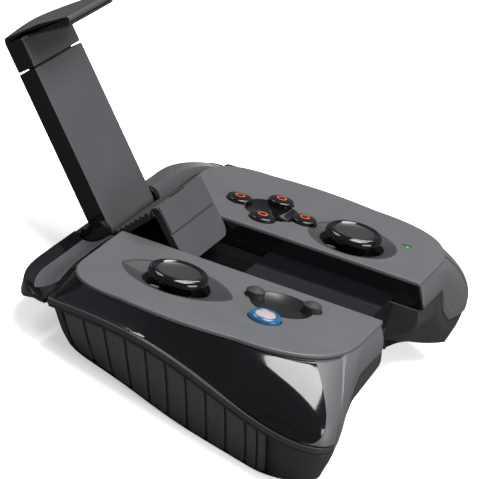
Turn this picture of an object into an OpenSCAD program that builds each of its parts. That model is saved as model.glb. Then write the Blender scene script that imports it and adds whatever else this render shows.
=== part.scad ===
// Folding game controller for a phone: two grips joined by a channel, and a hinged arm whose jaws hold the phone.
// The parts are drawn with the control face level at z = 0 and then seated on the grips' flat bottoms by one tilt.

/* [Seat] */
// Tilt of the control face when the grips stand on a table, in degrees
face_tilt = 13; // [11:0.5:15]
// Depth of the grips below the face, at the middle of the body
grip_depth = 25; // [24:0.1:26]
// Shift along the depth that centres the part on its origin
seat_shift = -12.5; // [-20:0.1:0]

/* [Face and covers] */
// Front edge of the face
face_front = -45; // [-46:0.25:-44]
// Rear edge of the face
face_rear = 28.8; // [28.5:0.1:29.2]
// Half width of the face
face_half = 62; // [60:0.5:65]
// Thickness of the face plate
plate_t = 3.2; // [3:0.1:3.4]
// Wall of the covers
cover_wall = 2.2; // [1.8:0.1:2.4]
// Height of the face's edge above the side panels
edge_t = 0.95; // [0.8:0.05:1.2]
// Half width of the body at the rim under the side panels
rim_half = 69.6; // [68:0.2:72]
// Height of the matt rim at the sides
rim_h = 1.8; // [1.4:0.1:2.4]
// Depth of the parting line at the channel
inner_seam = 7.2; // [6.9:0.1:7.6]
// Depth of the rim at the rear of the sides
seam_rear = 3.6; // [3.2:0.1:4]
// Fall of the rim from the rear to the front of the sides
seam_drop = 14.6; // [12:0.2:16]
// How far the grips' noses reach in front of the face
nose_reach = 9; // [7:0.5:11]
// Thickness of the side panels' recess
panel_t = 1.0; // [0.8:0.1:1.2]

/* [Bottom shell] */
// Wall of the bottom shell
shell_wall = 2.0; // [1.6:0.1:2.4]
// Half width of the grips at their bottom edge
grip_bottom_half = 61.5; // [60:0.5:63]
// Thickness of the ribbed grip pads' recess
pad_t = 1.3; // [1:0.1:1.5]
// Depth of the grooves between the ribs
groove_depth = 0.9; // [0.5:0.1:1]
// Depth of the pan under the channel
pan_depth = 16.9; // [16.5:0.1:17.5]
// Thickness of the pan
pan_t = 2; // [1.5:0.1:2.5]

/* [Channel deck] */
// Half width of the arm channel
channel_half = 17.46; // [17.3:0.02:17.8]
// Depth of the deck's floor below the face
deck_depth = 5.3; // [5.2:0.1:5.8]
// Front edge of the deck
deck_front = -39; // [-41:0.5:-36]
// Wall beside the arm channel
deck_wall = 1.14; // [0.9:0.02:1.3]
// Front edge of the well for the lower jaw
well_front = -2.6; // [-5:0.1:-2.4]
// Depth of the well's floor below the face
well_depth = 10.2; // [10:0.1:11]
// Thickness of the hinge ears
ear_t = 2.4; // [2:0.1:2.6]

/* [Phone arm] */
// Lean of the open arm from the face's normal, in degrees
arm_lean = 40; // [35:1:45]
// Half width of the arm
arm_half = 16.7; // [16:0.1:16.8]
// Thickness of the arm
arm_t = 5.07; // [4.8:0.01:5.1]
// Length of the arm from its hinge to its top edge
arm_len = 46; // [40:0.1:50]
// Depth of the arm's hinge below the face
hinge_depth = 2.5; // [2.4:0.05:2.7]
// Place of the arm's hinge behind the middle of the body
hinge_y = 34.4; // [34.2:0.1:34.8]
// Radius of the arm's hinge pin
arm_pin_r = 1.5; // [1.2:0.05:1.6]

/* [Upper jaw] */
// Gap between the arm and the upper jaw at rest
jaw_gap = 0.5; // [0.4:0.1:1]
// Height of the upper jaw above that gap
jaw_h = 11; // [9:0.1:13]
// Reach of the hook in front of the arm's middle
hook_reach = 17.4; // [15:0.1:18]
// Thickness of the hook
hook_t = 1.8; // [1.5:0.1:2.2]
// How far the hook's tip drops towards the phone
hook_drop = 2.5; // [2:0.1:3]
// Rise of the hook's arched top
hook_crown = 1.2; // [0.8:0.1:1.6]
// Length of the jaw's tongue inside the arm
tongue_len = 35; // [30:0.5:36]

/* [Lower jaw] */
// Lean of the open shelf from the horizontal, in degrees
shelf_lean = 47.2; // [44:0.2:50]
// Length of the shelf from its hinge to the flap's hinge
shelf_len = 19.49; // [19:0.01:20]
// Height of the shelf's gripping face above its hinge
shelf_top = 1.98; // [1.9:0.02:2.1]
// Place of the shelf's hinge behind the middle of the body
shelf_hinge_y = 34; // [33.8:0.1:34.2]
// Depth of the shelf's hinge below the face
shelf_hinge_depth = 7.5; // [7.4:0.05:7.7]
// Half width of the lower jaw
jaw_half = 16.88; // [16.4:0.02:16.9]
// Angle between the shelf and the open flap, in degrees
flap_angle = 95; // [90:1:98]
// Length of the flap from its hinge
flap_len = 16.1; // [15:0.1:16.4]
// Thickness of the flap
flap_t = 1.8; // [1.5:0.1:2]
// Radius of the flap's hinge barrel
barrel_r = 1.4; // [1.3:0.05:1.5]
// Thickness of the rubber on the jaws
rubber_t = 0.88; // [0.7:0.02:0.9]

/* [Triggers] */
// Inner end of the triggers beside the hinge ears
trigger_inner = 20.1; // [20:0.1:21]
// Reach of the triggers' lip behind the middle of the body
trigger_rear = 41.9; // [40:0.1:44]
// Half width of the body at the triggers
trigger_half = 70; // [69:0.1:71]
// Radius of the trigger pins
trigger_pin_r = 0.9; // [0.8:0.05:1]

/* [Controls] */
// Radius of the stick caps
stick_cap_r = 8; // [7.5:0.1:8.4]
// Radius of the sticks' stems
stick_stem_r = 4.2; // [3.8:0.1:4.3]
// Travel of the sticks each way
stick_travel = 2.8; // [2.2:0.1:3]
// Radius of the holes for the sticks
stick_hole_r = 9; // [8.8:0.1:9.3]
// Radius of the face buttons
button_r = 3.5; // [3.2:0.05:3.6]
// Pitch of the face buttons across the body
button_pitch_x = 16.8; // [16.6:0.1:17.4]
// Pitch of the face buttons along the body
button_pitch_y = 19.1; // [18:0.1:19.4]
// Radius of the select and start buttons
small_button_r = 2.5; // [2.2:0.05:2.7]
// Radius of the home button
home_r = 4.25; // [4:0.05:4.5]
// Radius of the status light
light_r = 1.25; // [1:0.05:1.5]

/* [Power] */
// Radius of the battery cells
cell_r = 5; // [4.8:0.05:5.1]
// Length of the battery cells
cell_len = 28; // [26:0.5:29]
// Thickness of the battery doors
door_t = 2; // [1.8:0.1:2.1]
// Wall of the battery trays
tray_wall = 0.7; // [0.6:0.05:0.8]

/* [Hidden] */
$fn = 48;

// Clearances
slip = 0.3;
seat_gap = 0.1;
running = 0.05;
hold = 0.02;
past = 1;

// Outlines of one grip, seen from above, in this order: inner side, inner front, nose corner, nose front,
// outer side, outer front, turn of the front corner, swell of the side, rear, turn of the rear corner
cover_inner = channel_half + deck_wall + 0.2;
grip_middle = grip_bottom_half - 11.5;
bow_start = -33;
bow_rise = 0.048;
face_spec = [channel_half, face_front, 30, face_front, face_half, face_front, 26, 1.7, face_rear, 16];
under_spec = [cover_inner, face_front, 30, face_front, face_half, face_front, 26, 1.7, face_rear, 16];
rim_spec = [cover_inner, face_front - 2.6, 36, face_front - 2.6, rim_half, face_front - nose_reach,
            22, 0.8, face_rear - 0.4, 1.2];
upper_spec = [channel_half, face_front - 2.3, 36, face_front - 2.3, rim_half - 1.4, face_front - nose_reach + 1.2,
              18.6, 0.8, face_rear - 0.2, 3];
waist_spec = [channel_half, face_front - 1.8, 36, face_front - 2, mix(rim_half - 1.4, grip_bottom_half, 0.42),
              face_front - nose_reach + 2, 18, 0.8, face_rear - 2.2, 3];
edge_spec = [channel_half, face_front - 0.5, 36, face_front - 1, grip_bottom_half,
             face_front - nose_reach + 4, 16.5, 0.8, face_rear - 4.4, 3.5];
land_spec = [grip_middle - 9, face_front + 0.5, grip_middle - 3, face_front, grip_bottom_half - 2.5,
             face_front - 1, 7, 0.4, face_rear - 10.5, 5];
flat_spec = [grip_middle - 8.6, bow_start + 0.4, grip_middle - 3, bow_start + 0.4, grip_bottom_half - 2.9,
             bow_start + 0.4, 4, 0.4, face_rear - 10.9, 4];
inset_step = [1, 1, 0, 1, -1, 1, -1, 0, -1, -1];
nose_turn = 4;
front_steps = 8;
side_steps = 10;
rear_steps = 5;
side_start = 6 + front_steps;
side_end = side_start + side_steps;
panel_start = 8;
panel_end = side_end + rear_steps;
flare_stations = [0.17, 0.36, 0.58, 0.8];
panel_gap = 0.2;
pad_gap = 0.3;
cover_middle = [52, -5];
land_middle = [50, -15];
seam_start_y = 26;
seam_run = 71;

// Arm, jaws and hinges, in the side view of the channel
arm_half_t = arm_t / 2;
jaw_start = arm_len + jaw_gap;
jaw_top = jaw_start + jaw_h;
shelf_plate_top = shelf_top - rubber_t;
barrel_height = shelf_top - barrel_r;
shelf_pin_r = 1;
flap_pin_r = 0.7;
knuckle_half = 5.2;
ear_half = channel_half - 0.26;
ear_rear = 39;
deck_rear = ear_rear + 1.6;

// Controls
stick_spots = [[-38.5, 5.3], [32.4, -20.7]];
button_middle = [34, 3.7];
select_spot = [-30.6, -13.5];
start_spot = [-27.5, -28.2];
home_spot = [-43.5, -20.6];
light_spot = [41.9, -33.7];
flange_t = 1.1;
flange_rim = 0.7;
dish_r = 12.5;
dish_depth = 2;
menu_middle = [-31, -21];
menu_dish_r = 8.4;
menu_dish_depth = 1.3;
button_dish_r = 8;
button_dish_depth = 1;
leaf_half_len = 15.5;
leaf_half_w = 11;
leaf_ball_r = 60;
board_top = plate_t + 5.3;
board_t = 1.6;
base_half = 9.7;
carriage_half_x = stick_stem_r + slip + 1.1;
carriage_half_y = stick_stem_r + stick_travel + slip + 0.9;
carriage_t = 1.5;

// Triggers
trigger_front = face_rear + 0.5;
trigger_axis = [face_rear + 2.8, -7];
lug_r = 1.9;
lug_t = 3;
lug_spots = [24, 50];
trigger_pin_start = 22;
trigger_pin_len = 34;

// Batteries, in the seated frame
tray_y = -21.2;
contact_t = 0.4;
tray_half = cell_r + 0.2 + tray_wall;
tray_inner_len = cell_len + 2 * (contact_t + 0.15);
tray_len = tray_inner_len + 2 * tray_wall;
tray_bottom = shell_wall + 0.3;
tray_top = door_t + 0.2 + 2 * cell_r + 0.2 + tray_wall;
door_half = cell_r + 0.15;
door_len = cell_len + 1;

function mix(a, b, t) = a + (b - a) * t;
function smooth(t) = let (c = min(1, max(0, t))) c * c * (3 - 2 * c);
function unit(v) = v / norm(v);
function inset(spec, d) = spec + d * inset_step;

// One rounded corner as a curve that leaves both edges at the same distance from the corner
function corner(before, at, after, turn, steps) =
    let (p = at + turn * unit(before - at), q = at + turn * unit(after - at))
    [for (i = [0 : steps]) let (s = i / steps) (1 - s) * (1 - s) * p + 2 * s * (1 - s) * at + s * s * q];

// Outline of the right grip at one level, always with the same number of points
function outline(spec) =
    let (
        a = [spec[0], spec[1]],
        b = [spec[2], spec[3]],
        c = [spec[4], spec[5]],
        d = [spec[4], spec[8]],
        e = [spec[0], spec[8]],
        front = corner(b, c, d, max(2, spec[6]), front_steps),
        rear = corner(c, d, e, max(0.8, spec[9]), rear_steps)
    )
    concat(
        corner(e, a, b, 0.6, 1),
        corner(a, b, c, nose_turn, 3),
        front,
        [for (i = [1 : side_steps - 1])
            mix(front[front_steps], rear[0], i / side_steps) + [spec[7] * sin(180 * i / side_steps), 0]],
        rear,
        corner(d, e, a, 0.6, 1)
    );

// Heights of the parting line, the rim and the belly at a point seen from above
function side_seam(y) =
    let (u = min(1, max(0, (seam_start_y - y) / seam_run)))
    -seam_rear - seam_drop * (1 - cos(180 * pow(u, 1.35))) / 2;
function outward(p) = smooth((p.x - 37) / 14);
function seam_z(p) = mix(-inner_seam, side_seam(p.y), outward(p));
function rim_z(p) = seam_z(p) - rim_h * outward(p);
function bow(y) = bow_rise * pow(max(0, bow_start - y), 1.8);
// The underside is flat where it rests on a table, and leans inwards like a hull under the nose
function reach(p) =
    mix(smooth((p.x - 20) / 20), min(1, max(0, (p.x - channel_half) / 42)), smooth((bow_start - p.y) / 10));
function belly_z(p) = mix(-pan_depth - 1.8, -grip_depth + tan(face_tilt) * p.y + bow(p.y), reach(p));
function edge_rise(y) = 1.2 + 2.7 * smooth((y + 15) / 38);

function level(spec, z) = [for (p = outline(spec)) [p.x, p.y, z]];
function cover_level(spec, t) = [for (p = outline(spec)) [p.x, p.y, mix(-edge_t, seam_z(p), t)]];
function rim_level(spec, drop) = [for (p = outline(spec)) [p.x, p.y, rim_z(p) - drop]];
function shell_level(spec, t, rise) = [for (p = outline(spec)) [p.x, p.y, mix(rim_z(p), belly_z(p), t) + rise]];
function edge_level(spec, rise) = [for (p = outline(spec)) [p.x, p.y, belly_z(p) + edge_rise(p.y) + rise]];
// The side flares straight at the rear and swells into a rounded nose at the front
function flare(t, y) = mix(pow(t, 1.3), 1 - pow(1 - t, 2), smooth((-12 - y) / 30));
function flared_level(t, d) =
    let (top = outline(inset(under_spec, d)), low = outline(inset(rim_spec, d)))
    [for (j = [0 : len(top) - 1])
        let (p = mix(top[j], low[j], flare(t, low[j].y))) [p.x, p.y, mix(-edge_t, seam_z(p), t)]];
function recessed(outer, inner, first, last) =
    [for (j = [0 : len(outer) - 1]) j >= first && j <= last ? inner[j] : outer[j]];
function along(ring, u) = let (j = floor(u)) mix(ring[j], ring[min(j + 1, len(ring) - 1)], u - j);

// Closed solid through a run of rings, with a fan at each end
module loft(rings, first_middle, last_middle) {
    n = len(rings[0]);
    count = len(rings);
    points = concat([for (ring = rings, p = ring) p], [first_middle, last_middle]);
    first = n * count;
    sides = [for (i = [0 : count - 2], j = [0 : n - 1], half = [0, 1])
        let (a = i * n + j, b = i * n + (j + 1) % n)
        half == 0 ? [a, b, b + n] : [a, b + n, a + n]];
    first_fan = [for (j = [0 : n - 1]) [first, (j + 1) % n, j]];
    last_fan = [for (j = [0 : n - 1]) [first + 1, first - n + j, first - n + (j + 1) % n]];
    polyhedron(points = points, faces = concat(sides, first_fan, last_fan), convexity = 6);
}

// Closed curved slab between an outer and an inner grid of points
module slab(outer, inner) {
    rows = len(outer);
    columns = len(outer[0]);
    back = rows * columns;
    points = concat([for (row = outer, p = row) p], [for (row = inner, p = row) p]);
    quads = concat(
        [for (i = [0 : rows - 2], j = [0 : columns - 2])
            let (a = i * columns + j) [a, a + 1, a + columns + 1, a + columns]],
        [for (i = [0 : rows - 2], j = [0 : columns - 2])
            let (a = back + i * columns + j) [a, a + columns, a + columns + 1, a + 1]],
        [for (j = [0 : columns - 2]) [j, j + back, j + 1 + back, j + 1]],
        [for (j = [0 : columns - 2])
            let (a = (rows - 1) * columns + j) [a, a + 1, a + 1 + back, a + back]],
        [for (i = [0 : rows - 2])
            let (a = i * columns) [a, a + columns, a + columns + back, a + back]],
        [for (i = [0 : rows - 2])
            let (a = i * columns + columns - 1) [a, a + back, a + columns + back, a + columns]]
    );
    faces = [for (q = quads, half = [0, 1]) half == 0 ? [q[0], q[1], q[2]] : [q[0], q[2], q[3]]];
    polyhedron(points = points, faces = faces, convexity = 6);
}

module seat() {
    translate([0, seat_shift, grip_depth * cos(face_tilt)]) rotate([-face_tilt, 0, 0]) children();
}

module mirrored(left) {
    if (left) mirror([1, 0, 0]) children();
    else children();
}

module rod_x(r, from, to) {
    translate([from, 0, 0]) rotate([0, 90, 0]) cylinder(r = r, h = to - from);
}

module at_side_view(spot) {
    translate([0, spot.x, spot.y]) children();
}

// Frame along a plate that leaves its hinge at an angle from the rear horizontal
module from_hinge(spot, angle) {
    translate([0, spot.x, spot.y]) rotate([angle - 90, 0, 0]) children();
}

module bar(half, y0, y1, z0, z1) {
    translate([-half, y0, z0]) cube([2 * half, y1 - y0, z1 - z0]);
}

// Covers

module cover_body() {
    lip = rim_spec;
    rings = [
        level(inset(face_spec, 0.5), 0),
        level(face_spec, -0.5),
        level(face_spec, -edge_t),
        recessed(level(under_spec, -edge_t - 0.01), level(inset(under_spec, panel_t), -edge_t - 0.01),
                 panel_start, panel_end),
        each [for (t = flare_stations)
            recessed(flared_level(t, 0), flared_level(t, panel_t), panel_start, panel_end)],
        recessed(cover_level(lip, 0.999), cover_level(inset(lip, panel_t), 0.999), panel_start, panel_end),
        cover_level(lip, 1),
        rim_level(inset(lip, 0.3), 0),
        rim_level(inset(lip, cover_wall + 0.3), 0),
        flared_level(0.5, cover_wall),
        level(inset(under_spec, cover_wall), -plate_t)
    ];
    loft(rings, [cover_middle.x, cover_middle.y, 0], [cover_middle.x, cover_middle.y, -plate_t]);
}

module hole(spot, r) {
    translate([spot.x, spot.y, -plate_t - past]) cylinder(r = r, h = plate_t + 2 * past);
}

// Two overlapping balls leave a leaf-shaped hollow with a pointed tip at each end
module leaf_dish(spot) {
    circle_r = (leaf_half_len * leaf_half_len / leaf_half_w + leaf_half_w) / 2;
    ball_z = sqrt(leaf_ball_r * leaf_ball_r - circle_r * circle_r);
    shift = circle_r - leaf_half_w;
    translate([spot.x, spot.y, ball_z]) intersection() {
        translate([-shift, 0, 0]) rotate([0, 90, 0]) sphere(r = leaf_ball_r, $fn = 96);
        translate([shift, 0, 0]) rotate([0, 90, 0]) sphere(r = leaf_ball_r, $fn = 96);
    }
}

// Shallow round hollow in the face
module hollow(spot, r, depth) {
    ball_r = (r * r + depth * depth) / (2 * depth);
    translate([spot.x, spot.y, ball_r - depth]) rotate([0, 90, 0]) sphere(r = ball_r, $fn = 96);
}

function button_spots() = [
    button_middle + [0, button_pitch_y / 2],
    button_middle - [0, button_pitch_y / 2],
    button_middle - [button_pitch_x / 2, 0],
    button_middle + [button_pitch_x / 2, 0]
];

module left_top_cover() {
    color("dimgray") seat() difference() {
        difference() {
            mirrored(true) cover_body();
            hole(stick_spots[0], stick_hole_r);
            leaf_dish(stick_spots[0]);
        }
        hollow(menu_middle, menu_dish_r, menu_dish_depth);
        hole(select_spot, small_button_r + slip);
        hole(start_spot, small_button_r + slip);
        hole(home_spot, home_r + slip);
    }
}

module right_top_cover() {
    color("dimgray") seat() difference() {
        difference() {
            cover_body();
            hollow(button_middle, button_dish_r, button_dish_depth);
        }
        hole(stick_spots[1], stick_hole_r);
        hollow(stick_spots[1], dish_r, dish_depth);
        for (spot = button_spots()) hole(spot, button_r + slip);
        hole(light_spot, light_r + seat_gap);
    }
}

module side_panel() {
    steps = concat([0.05], flare_stations, [0.97]);
    outer = [for (t = steps) let (ring = flared_level(t, 0.05)) [for (j = [panel_start : panel_end]) ring[j]]];
    inner = [for (t = steps) let (ring = flared_level(t, panel_t - panel_gap))
        [for (j = [panel_start : panel_end]) ring[j]]];
    slab(outer, inner);
}

module left_side_panel() {
    color([0.03, 0.03, 0.035]) seat() mirrored(true) side_panel();
}

module right_side_panel() {
    color([0.03, 0.03, 0.035]) seat() side_panel();
}

// Bottom shell with its pan, pin lugs and door openings

module grip_cup() {
    deep = shell_wall + pad_t;
    rings = [
        shell_level(inset(flat_spec, 1), 1, shell_wall + 0.2),
        shell_level(inset(land_spec, 1.2), 1, shell_wall + 0.2),
        edge_level(inset(edge_spec, deep), 1.6),
        shell_level(inset(waist_spec, deep), 0.5, 0),
        rim_level(inset(upper_spec, shell_wall), 0.15),
        rim_level(inset(rim_spec, 0.3) + [channel_half - cover_inner - 0.3, 0, 0, 0, 0, 0, 0, 0, 0, 0], 0.15),
        rim_level(upper_spec, 0.6),
        recessed(rim_level(upper_spec, 0.7), rim_level(inset(upper_spec, pad_t), 0.7), side_start, side_end),
        recessed(shell_level(waist_spec, 0.5, 0), shell_level(inset(waist_spec, pad_t), 0.5, 0),
                 side_start, side_end),
        recessed(edge_level(edge_spec, 0.1), edge_level(inset(edge_spec, pad_t), 0.1), side_start, side_end),
        edge_level(edge_spec, 0),
        shell_level(land_spec, 1, 0),
        shell_level(flat_spec, 1, 0)
    ];
    floor_z = -grip_depth + tan(face_tilt) * land_middle.y;
    loft(rings, [land_middle.x, land_middle.y, floor_z + shell_wall + 0.2],
         [land_middle.x, land_middle.y, floor_z]);
}

module trigger_lug(x) {
    root_top = -inner_seam - 0.5;
    translate([x, 0, 0]) rotate([90, 0, 90]) linear_extrude(lug_t) union() {
        translate(trigger_axis) circle(r = lug_r);
        polygon([
            [face_rear - 1.6, root_top - 2.6], [trigger_axis.x, trigger_axis.y - lug_r],
            [trigger_axis.x, trigger_axis.y + lug_r], [face_rear + 0.3, trigger_axis.y + 1],
            [face_rear + 0.3, root_top], [face_rear - 1.6, root_top]
        ]);
    }
}

module screw_spots() {
    for (x = [-13, 13], y = [-32, 20]) translate([x, y, -pan_depth]) children();
}

module bottom_shell() {
    color([0.2, 0.2, 0.21]) difference() {
        seat() difference() {
            union() {
                grip_cup();
                mirrored(true) grip_cup();
                bar(channel_half + 1.2, deck_front, face_rear - 8, -pan_depth, -pan_depth + pan_t);
                for (x = lug_spots) {
                    trigger_lug(x);
                    mirrored(true) trigger_lug(x);
                }
            }
            at_side_view(trigger_axis) rod_x(trigger_pin_r + hold, -trigger_half, trigger_half);
            screw_spots() translate([0, 0, -past]) cylinder(r = 1.2, h = pan_t + 2 * past);
            screw_spots() translate([0, 0, -past]) cylinder(r = 2.2, h = past + 1.1);
        }
        for (side = [-1, 1])
            translate([side * grip_middle - door_half - 0.2, tray_y + seat_shift - door_len / 2 - 0.2, -past])
                cube([2 * door_half + 0.4, door_len + 0.4, shell_wall + 2 * past]);
    }
}

module grip_pad() {
    groove = 0.06;
    columns = [for (j = [side_start : side_end - 1], part = [groove, 1 - groove, 1])
        [j + part, part == 1 && j < side_end - 1 ? groove_depth : 0]];
    placed = concat([[side_start, 0]], columns);
    outer = [
        [for (c = placed) along(rim_level(inset(upper_spec, c[1]), 0.85), c[0])],
        [for (c = placed) along(shell_level(inset(waist_spec, c[1]), 0.5, 0), c[0])],
        [for (c = placed) along(edge_level(inset(edge_spec, c[1]), 0.3), c[0])]
    ];
    deep = pad_t - pad_gap;
    inner = [
        [for (c = placed) along(rim_level(inset(upper_spec, deep), 0.85), c[0])],
        [for (c = placed) along(shell_level(inset(waist_spec, deep), 0.5, 0), c[0])],
        [for (c = placed) along(edge_level(inset(edge_spec, deep), 0.3), c[0])]
    ];
    slab(outer, inner);
}

module left_grip_pad() {
    color([0.23, 0.23, 0.25]) seat() mirrored(true) grip_pad();
}

module right_grip_pad() {
    color([0.23, 0.23, 0.25]) seat() grip_pad();
}

// Channel deck

module channel_wall() {
    slope = 2.4;
    translate([channel_half, 0, 0]) rotate([90, 0, 90]) linear_extrude(deck_wall) polygon([
        [face_front + 0.4, -edge_t - seat_gap], [face_rear - 0.4, -edge_t - seat_gap],
        [face_rear - 0.4, -inner_seam + seat_gap], [face_front - slope, -inner_seam + seat_gap]
    ]);
}

module hinge_ear() {
    base = -pan_depth + pan_t + 0.2;
    translate([ear_half, 0, 0]) rotate([90, 0, 90]) linear_extrude(ear_t) union() {
        translate([face_rear + 0.6, base]) square([ear_rear - face_rear - 0.6, -hinge_depth - base]);
        translate([hinge_y, -hinge_depth]) circle(r = 3.2);
    }
}

module channel_deck() {
    base = -pan_depth + pan_t + 0.2;
    slab_bottom = -inner_seam + seat_gap;
    color([0.04, 0.04, 0.045]) seat() difference() {
        union() {
            bar(ear_half, deck_front, deck_rear, base, -deck_depth);
            bar(channel_half + deck_wall, deck_front, face_rear - 0.4, slab_bottom, -deck_depth);
            bar(ear_half + ear_t, face_rear + 0.6, deck_rear, base, -well_depth);
            bar(ear_half + ear_t, ear_rear, deck_rear, base, -4);
            channel_wall();
            mirrored(true) channel_wall();
            hinge_ear();
            mirrored(true) hinge_ear();
        }
        bar(ear_half, well_front, ear_rear, -well_depth, past);
        at_side_view([hinge_y, -hinge_depth]) rod_x(arm_pin_r + hold, -trigger_half, trigger_half);
        at_side_view([shelf_hinge_y, -shelf_hinge_depth]) rod_x(shelf_pin_r + hold, -trigger_half, trigger_half);
        screw_spots() cylinder(r = 1.02, h = pan_t + 4.2);
    }
}

module deck_screws() {
    color("silver") seat() screw_spots() union() {
        translate([0, 0, 0.1]) cylinder(r = 2, h = 0.9);
        cylinder(r = 1, h = pan_t + 4);
    }
}

// Phone arm and upper jaw

module at_arm() {
    from_hinge([hinge_y, -hinge_depth], 90 - arm_lean) children();
}

module phone_arm() {
    color([0.04, 0.04, 0.045]) seat() at_arm() difference() {
        union() {
            bar(arm_half, -arm_half_t, arm_half_t, 0, arm_len);
            rod_x(arm_half_t, -arm_half, arm_half);
        }
        rod_x(arm_pin_r + running, -arm_half - past, arm_half + past);
        bar(13.2, -1.25, 1.25, jaw_start - tongue_len - 2, arm_len + past);
    }
}

module arm_hinge_pin() {
    color("silver") seat() at_side_view([hinge_y, -hinge_depth])
        rod_x(arm_pin_r, -ear_half - ear_t, ear_half + ear_t);
}

// Points of the hook's side view are given by reach in front of the arm's middle and height along the arm
module jaw_profile() {
    ridge = [-0.5, jaw_top];
    tip = [-hook_reach, jaw_top - hook_drop];
    slope = (tip.y - ridge.y) / (tip.x - ridge.x);
    root = ridge.y + slope * (-arm_half_t - ridge.x) - hook_t;
    polygon([
        [arm_half_t, jaw_start], [arm_half_t, jaw_top - 2.5], [arm_half_t - 0.4, jaw_top - 1.2], ridge,
        tip, [tip.x - 0.1, tip.y - hook_t + 0.6], [tip.x + 0.8, tip.y - hook_t],
        [-arm_half_t - 1, root], [-arm_half_t, root - 1], [-arm_half_t, jaw_start]
    ]);
}

module upper_jaw() {
    crown_r = (arm_half * arm_half + hook_crown * hook_crown) / (2 * hook_crown);
    color([0.05, 0.05, 0.055]) seat() at_arm() union() {
        intersection() {
            translate([-arm_half, 0, 0]) rotate([90, 0, 90]) linear_extrude(2 * arm_half) jaw_profile();
            translate([0, 30, jaw_top - crown_r]) rotate([90, 0, 0]) cylinder(r = crown_r, h = 60, $fn = 180);
        }
        bar(12.9, -0.95, 0.95, jaw_start - tongue_len, jaw_start + 2);
    }
}

// Saw-toothed rubber strip, its teeth across the jaw
module toothed_strip(length, half, pitch) {
    count = floor(length / pitch);
    step = length / count;
    base = rubber_t * 0.5;
    rotate([90, 0, 90]) translate([0, 0, -half]) linear_extrude(2 * half) polygon(concat(
        [[0, 0]],
        [for (i = [0 : count - 1], up = [0, 1]) [(i + up * 0.5) * step, up == 0 ? base : rubber_t]],
        [[length, base], [length, 0]]
    ));
}

module upper_jaw_pad() {
    run = hook_reach - 0.5;
    slope_angle = atan2(hook_drop, run);
    tip_under = jaw_top - hook_drop - hook_t;
    length = hook_reach - arm_half_t - 2.4;
    color([0.09, 0.09, 0.09]) seat() at_arm()
        translate([0, -hook_reach + 0.9, tip_under - seat_gap]) rotate([slope_angle, 0, 0])
            mirror([0, 0, 1]) toothed_strip(length, arm_half - 0.8, 1.7);
}

// Lower jaw

module at_shelf() {
    from_hinge([shelf_hinge_y, -shelf_hinge_depth], 180 - shelf_lean) children();
}

module at_flap() {
    at_shelf() translate([0, barrel_height, shelf_len]) rotate([flap_angle, 0, 0]) children();
}

module lower_jaw_shelf() {
    plate_bottom = shelf_plate_top - 1.4;
    plate_start = 5.9;
    plate_end = shelf_len - barrel_r - 0.4;
    color([0.06, 0.06, 0.065]) seat() at_shelf() difference() {
        union() {
            rod_x(1.6, -jaw_half, jaw_half);
            bar(jaw_half, -1, 0.6, 0, plate_start + 0.4);
            bar(jaw_half, plate_bottom, shelf_plate_top, plate_start, plate_end);
            bar(knuckle_half, plate_bottom, shelf_plate_top, plate_end - past, shelf_len);
            translate([0, barrel_height, shelf_len]) rod_x(barrel_r, -knuckle_half, knuckle_half);
        }
        rod_x(shelf_pin_r + running, -jaw_half - past, jaw_half + past);
        translate([0, barrel_height, shelf_len]) rod_x(flap_pin_r + hold, -jaw_half, jaw_half);
    }
}

module lower_jaw_pad() {
    start = 6.2;
    end = shelf_len - barrel_r - 0.6;
    color([0.09, 0.09, 0.09]) seat() at_shelf() translate([0, shelf_plate_top, start])
        rotate([90, 0, 0]) mirror([0, 0, 1]) toothed_strip(end - start, jaw_half - 0.3, 1.5);
}

module lower_jaw_flap() {
    round_r = 4;
    joint_gap = knuckle_half + slip;
    color([0.13, 0.13, 0.135]) seat() at_flap() difference() {
        union() {
            translate([0, barrel_r, 0]) rotate([90, 0, 0]) linear_extrude(flap_t) difference() {
                union() {
                    translate([-jaw_half, 0]) square([2 * jaw_half, flap_len - round_r]);
                    translate([-jaw_half + round_r, 0]) square([2 * (jaw_half - round_r), flap_len]);
                    for (x = [-1, 1]) translate([x * (jaw_half - round_r), flap_len - round_r]) circle(r = round_r);
                }
                translate([-joint_gap, -past]) square([2 * joint_gap, past + barrel_r + slip]);
            }
            for (x = [-jaw_half, joint_gap]) rod_x(barrel_r, x, x + jaw_half - joint_gap);
        }
        rod_x(flap_pin_r + running, -jaw_half - past, jaw_half + past);
        bar(jaw_half + past, barrel_r - 0.4, barrel_r + past, flap_len * 0.42, flap_len * 0.42 + 0.5);
    }
}

module shelf_hinge_pin() {
    color("silver") seat() at_side_view([shelf_hinge_y, -shelf_hinge_depth])
        rod_x(shelf_pin_r, -ear_half - ear_t, ear_half + ear_t);
}

module flap_hinge_pin() {
    color("silver") seat() at_shelf() translate([0, barrel_height, shelf_len])
        rod_x(flap_pin_r, -jaw_half + 0.4, jaw_half - 0.4);
}

// Triggers: a trough behind the face that ends in a raised lip and turns round the rear corner

trigger_bend = 46;
trigger_steps = 14;
trough = [[0, 0], [0.12, 0.12], [0.3, 0.6], [0.5, 0.95], [0.72, 1], [0.86, 0.78], [0.95, 0.62], [1, 0.8]];

function trigger_path(k) =
    let (
        turn = max(0, (k - 4) / (trigger_steps - 4)) * 90,
        straight = mix(trigger_inner, trigger_bend, min(1, k / 4)),
        inner_x = k <= 4 ? straight : mix(trigger_bend, trigger_half - 4, (k - 4) / (trigger_steps - 4)),
        outer = k <= 4 ? [straight, trigger_rear]
            : [trigger_bend + (trigger_half - trigger_bend) * sin(turn),
               trigger_front + (trigger_rear - trigger_front) * cos(turn)]
    )
    [[inner_x, trigger_front], outer];

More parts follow.
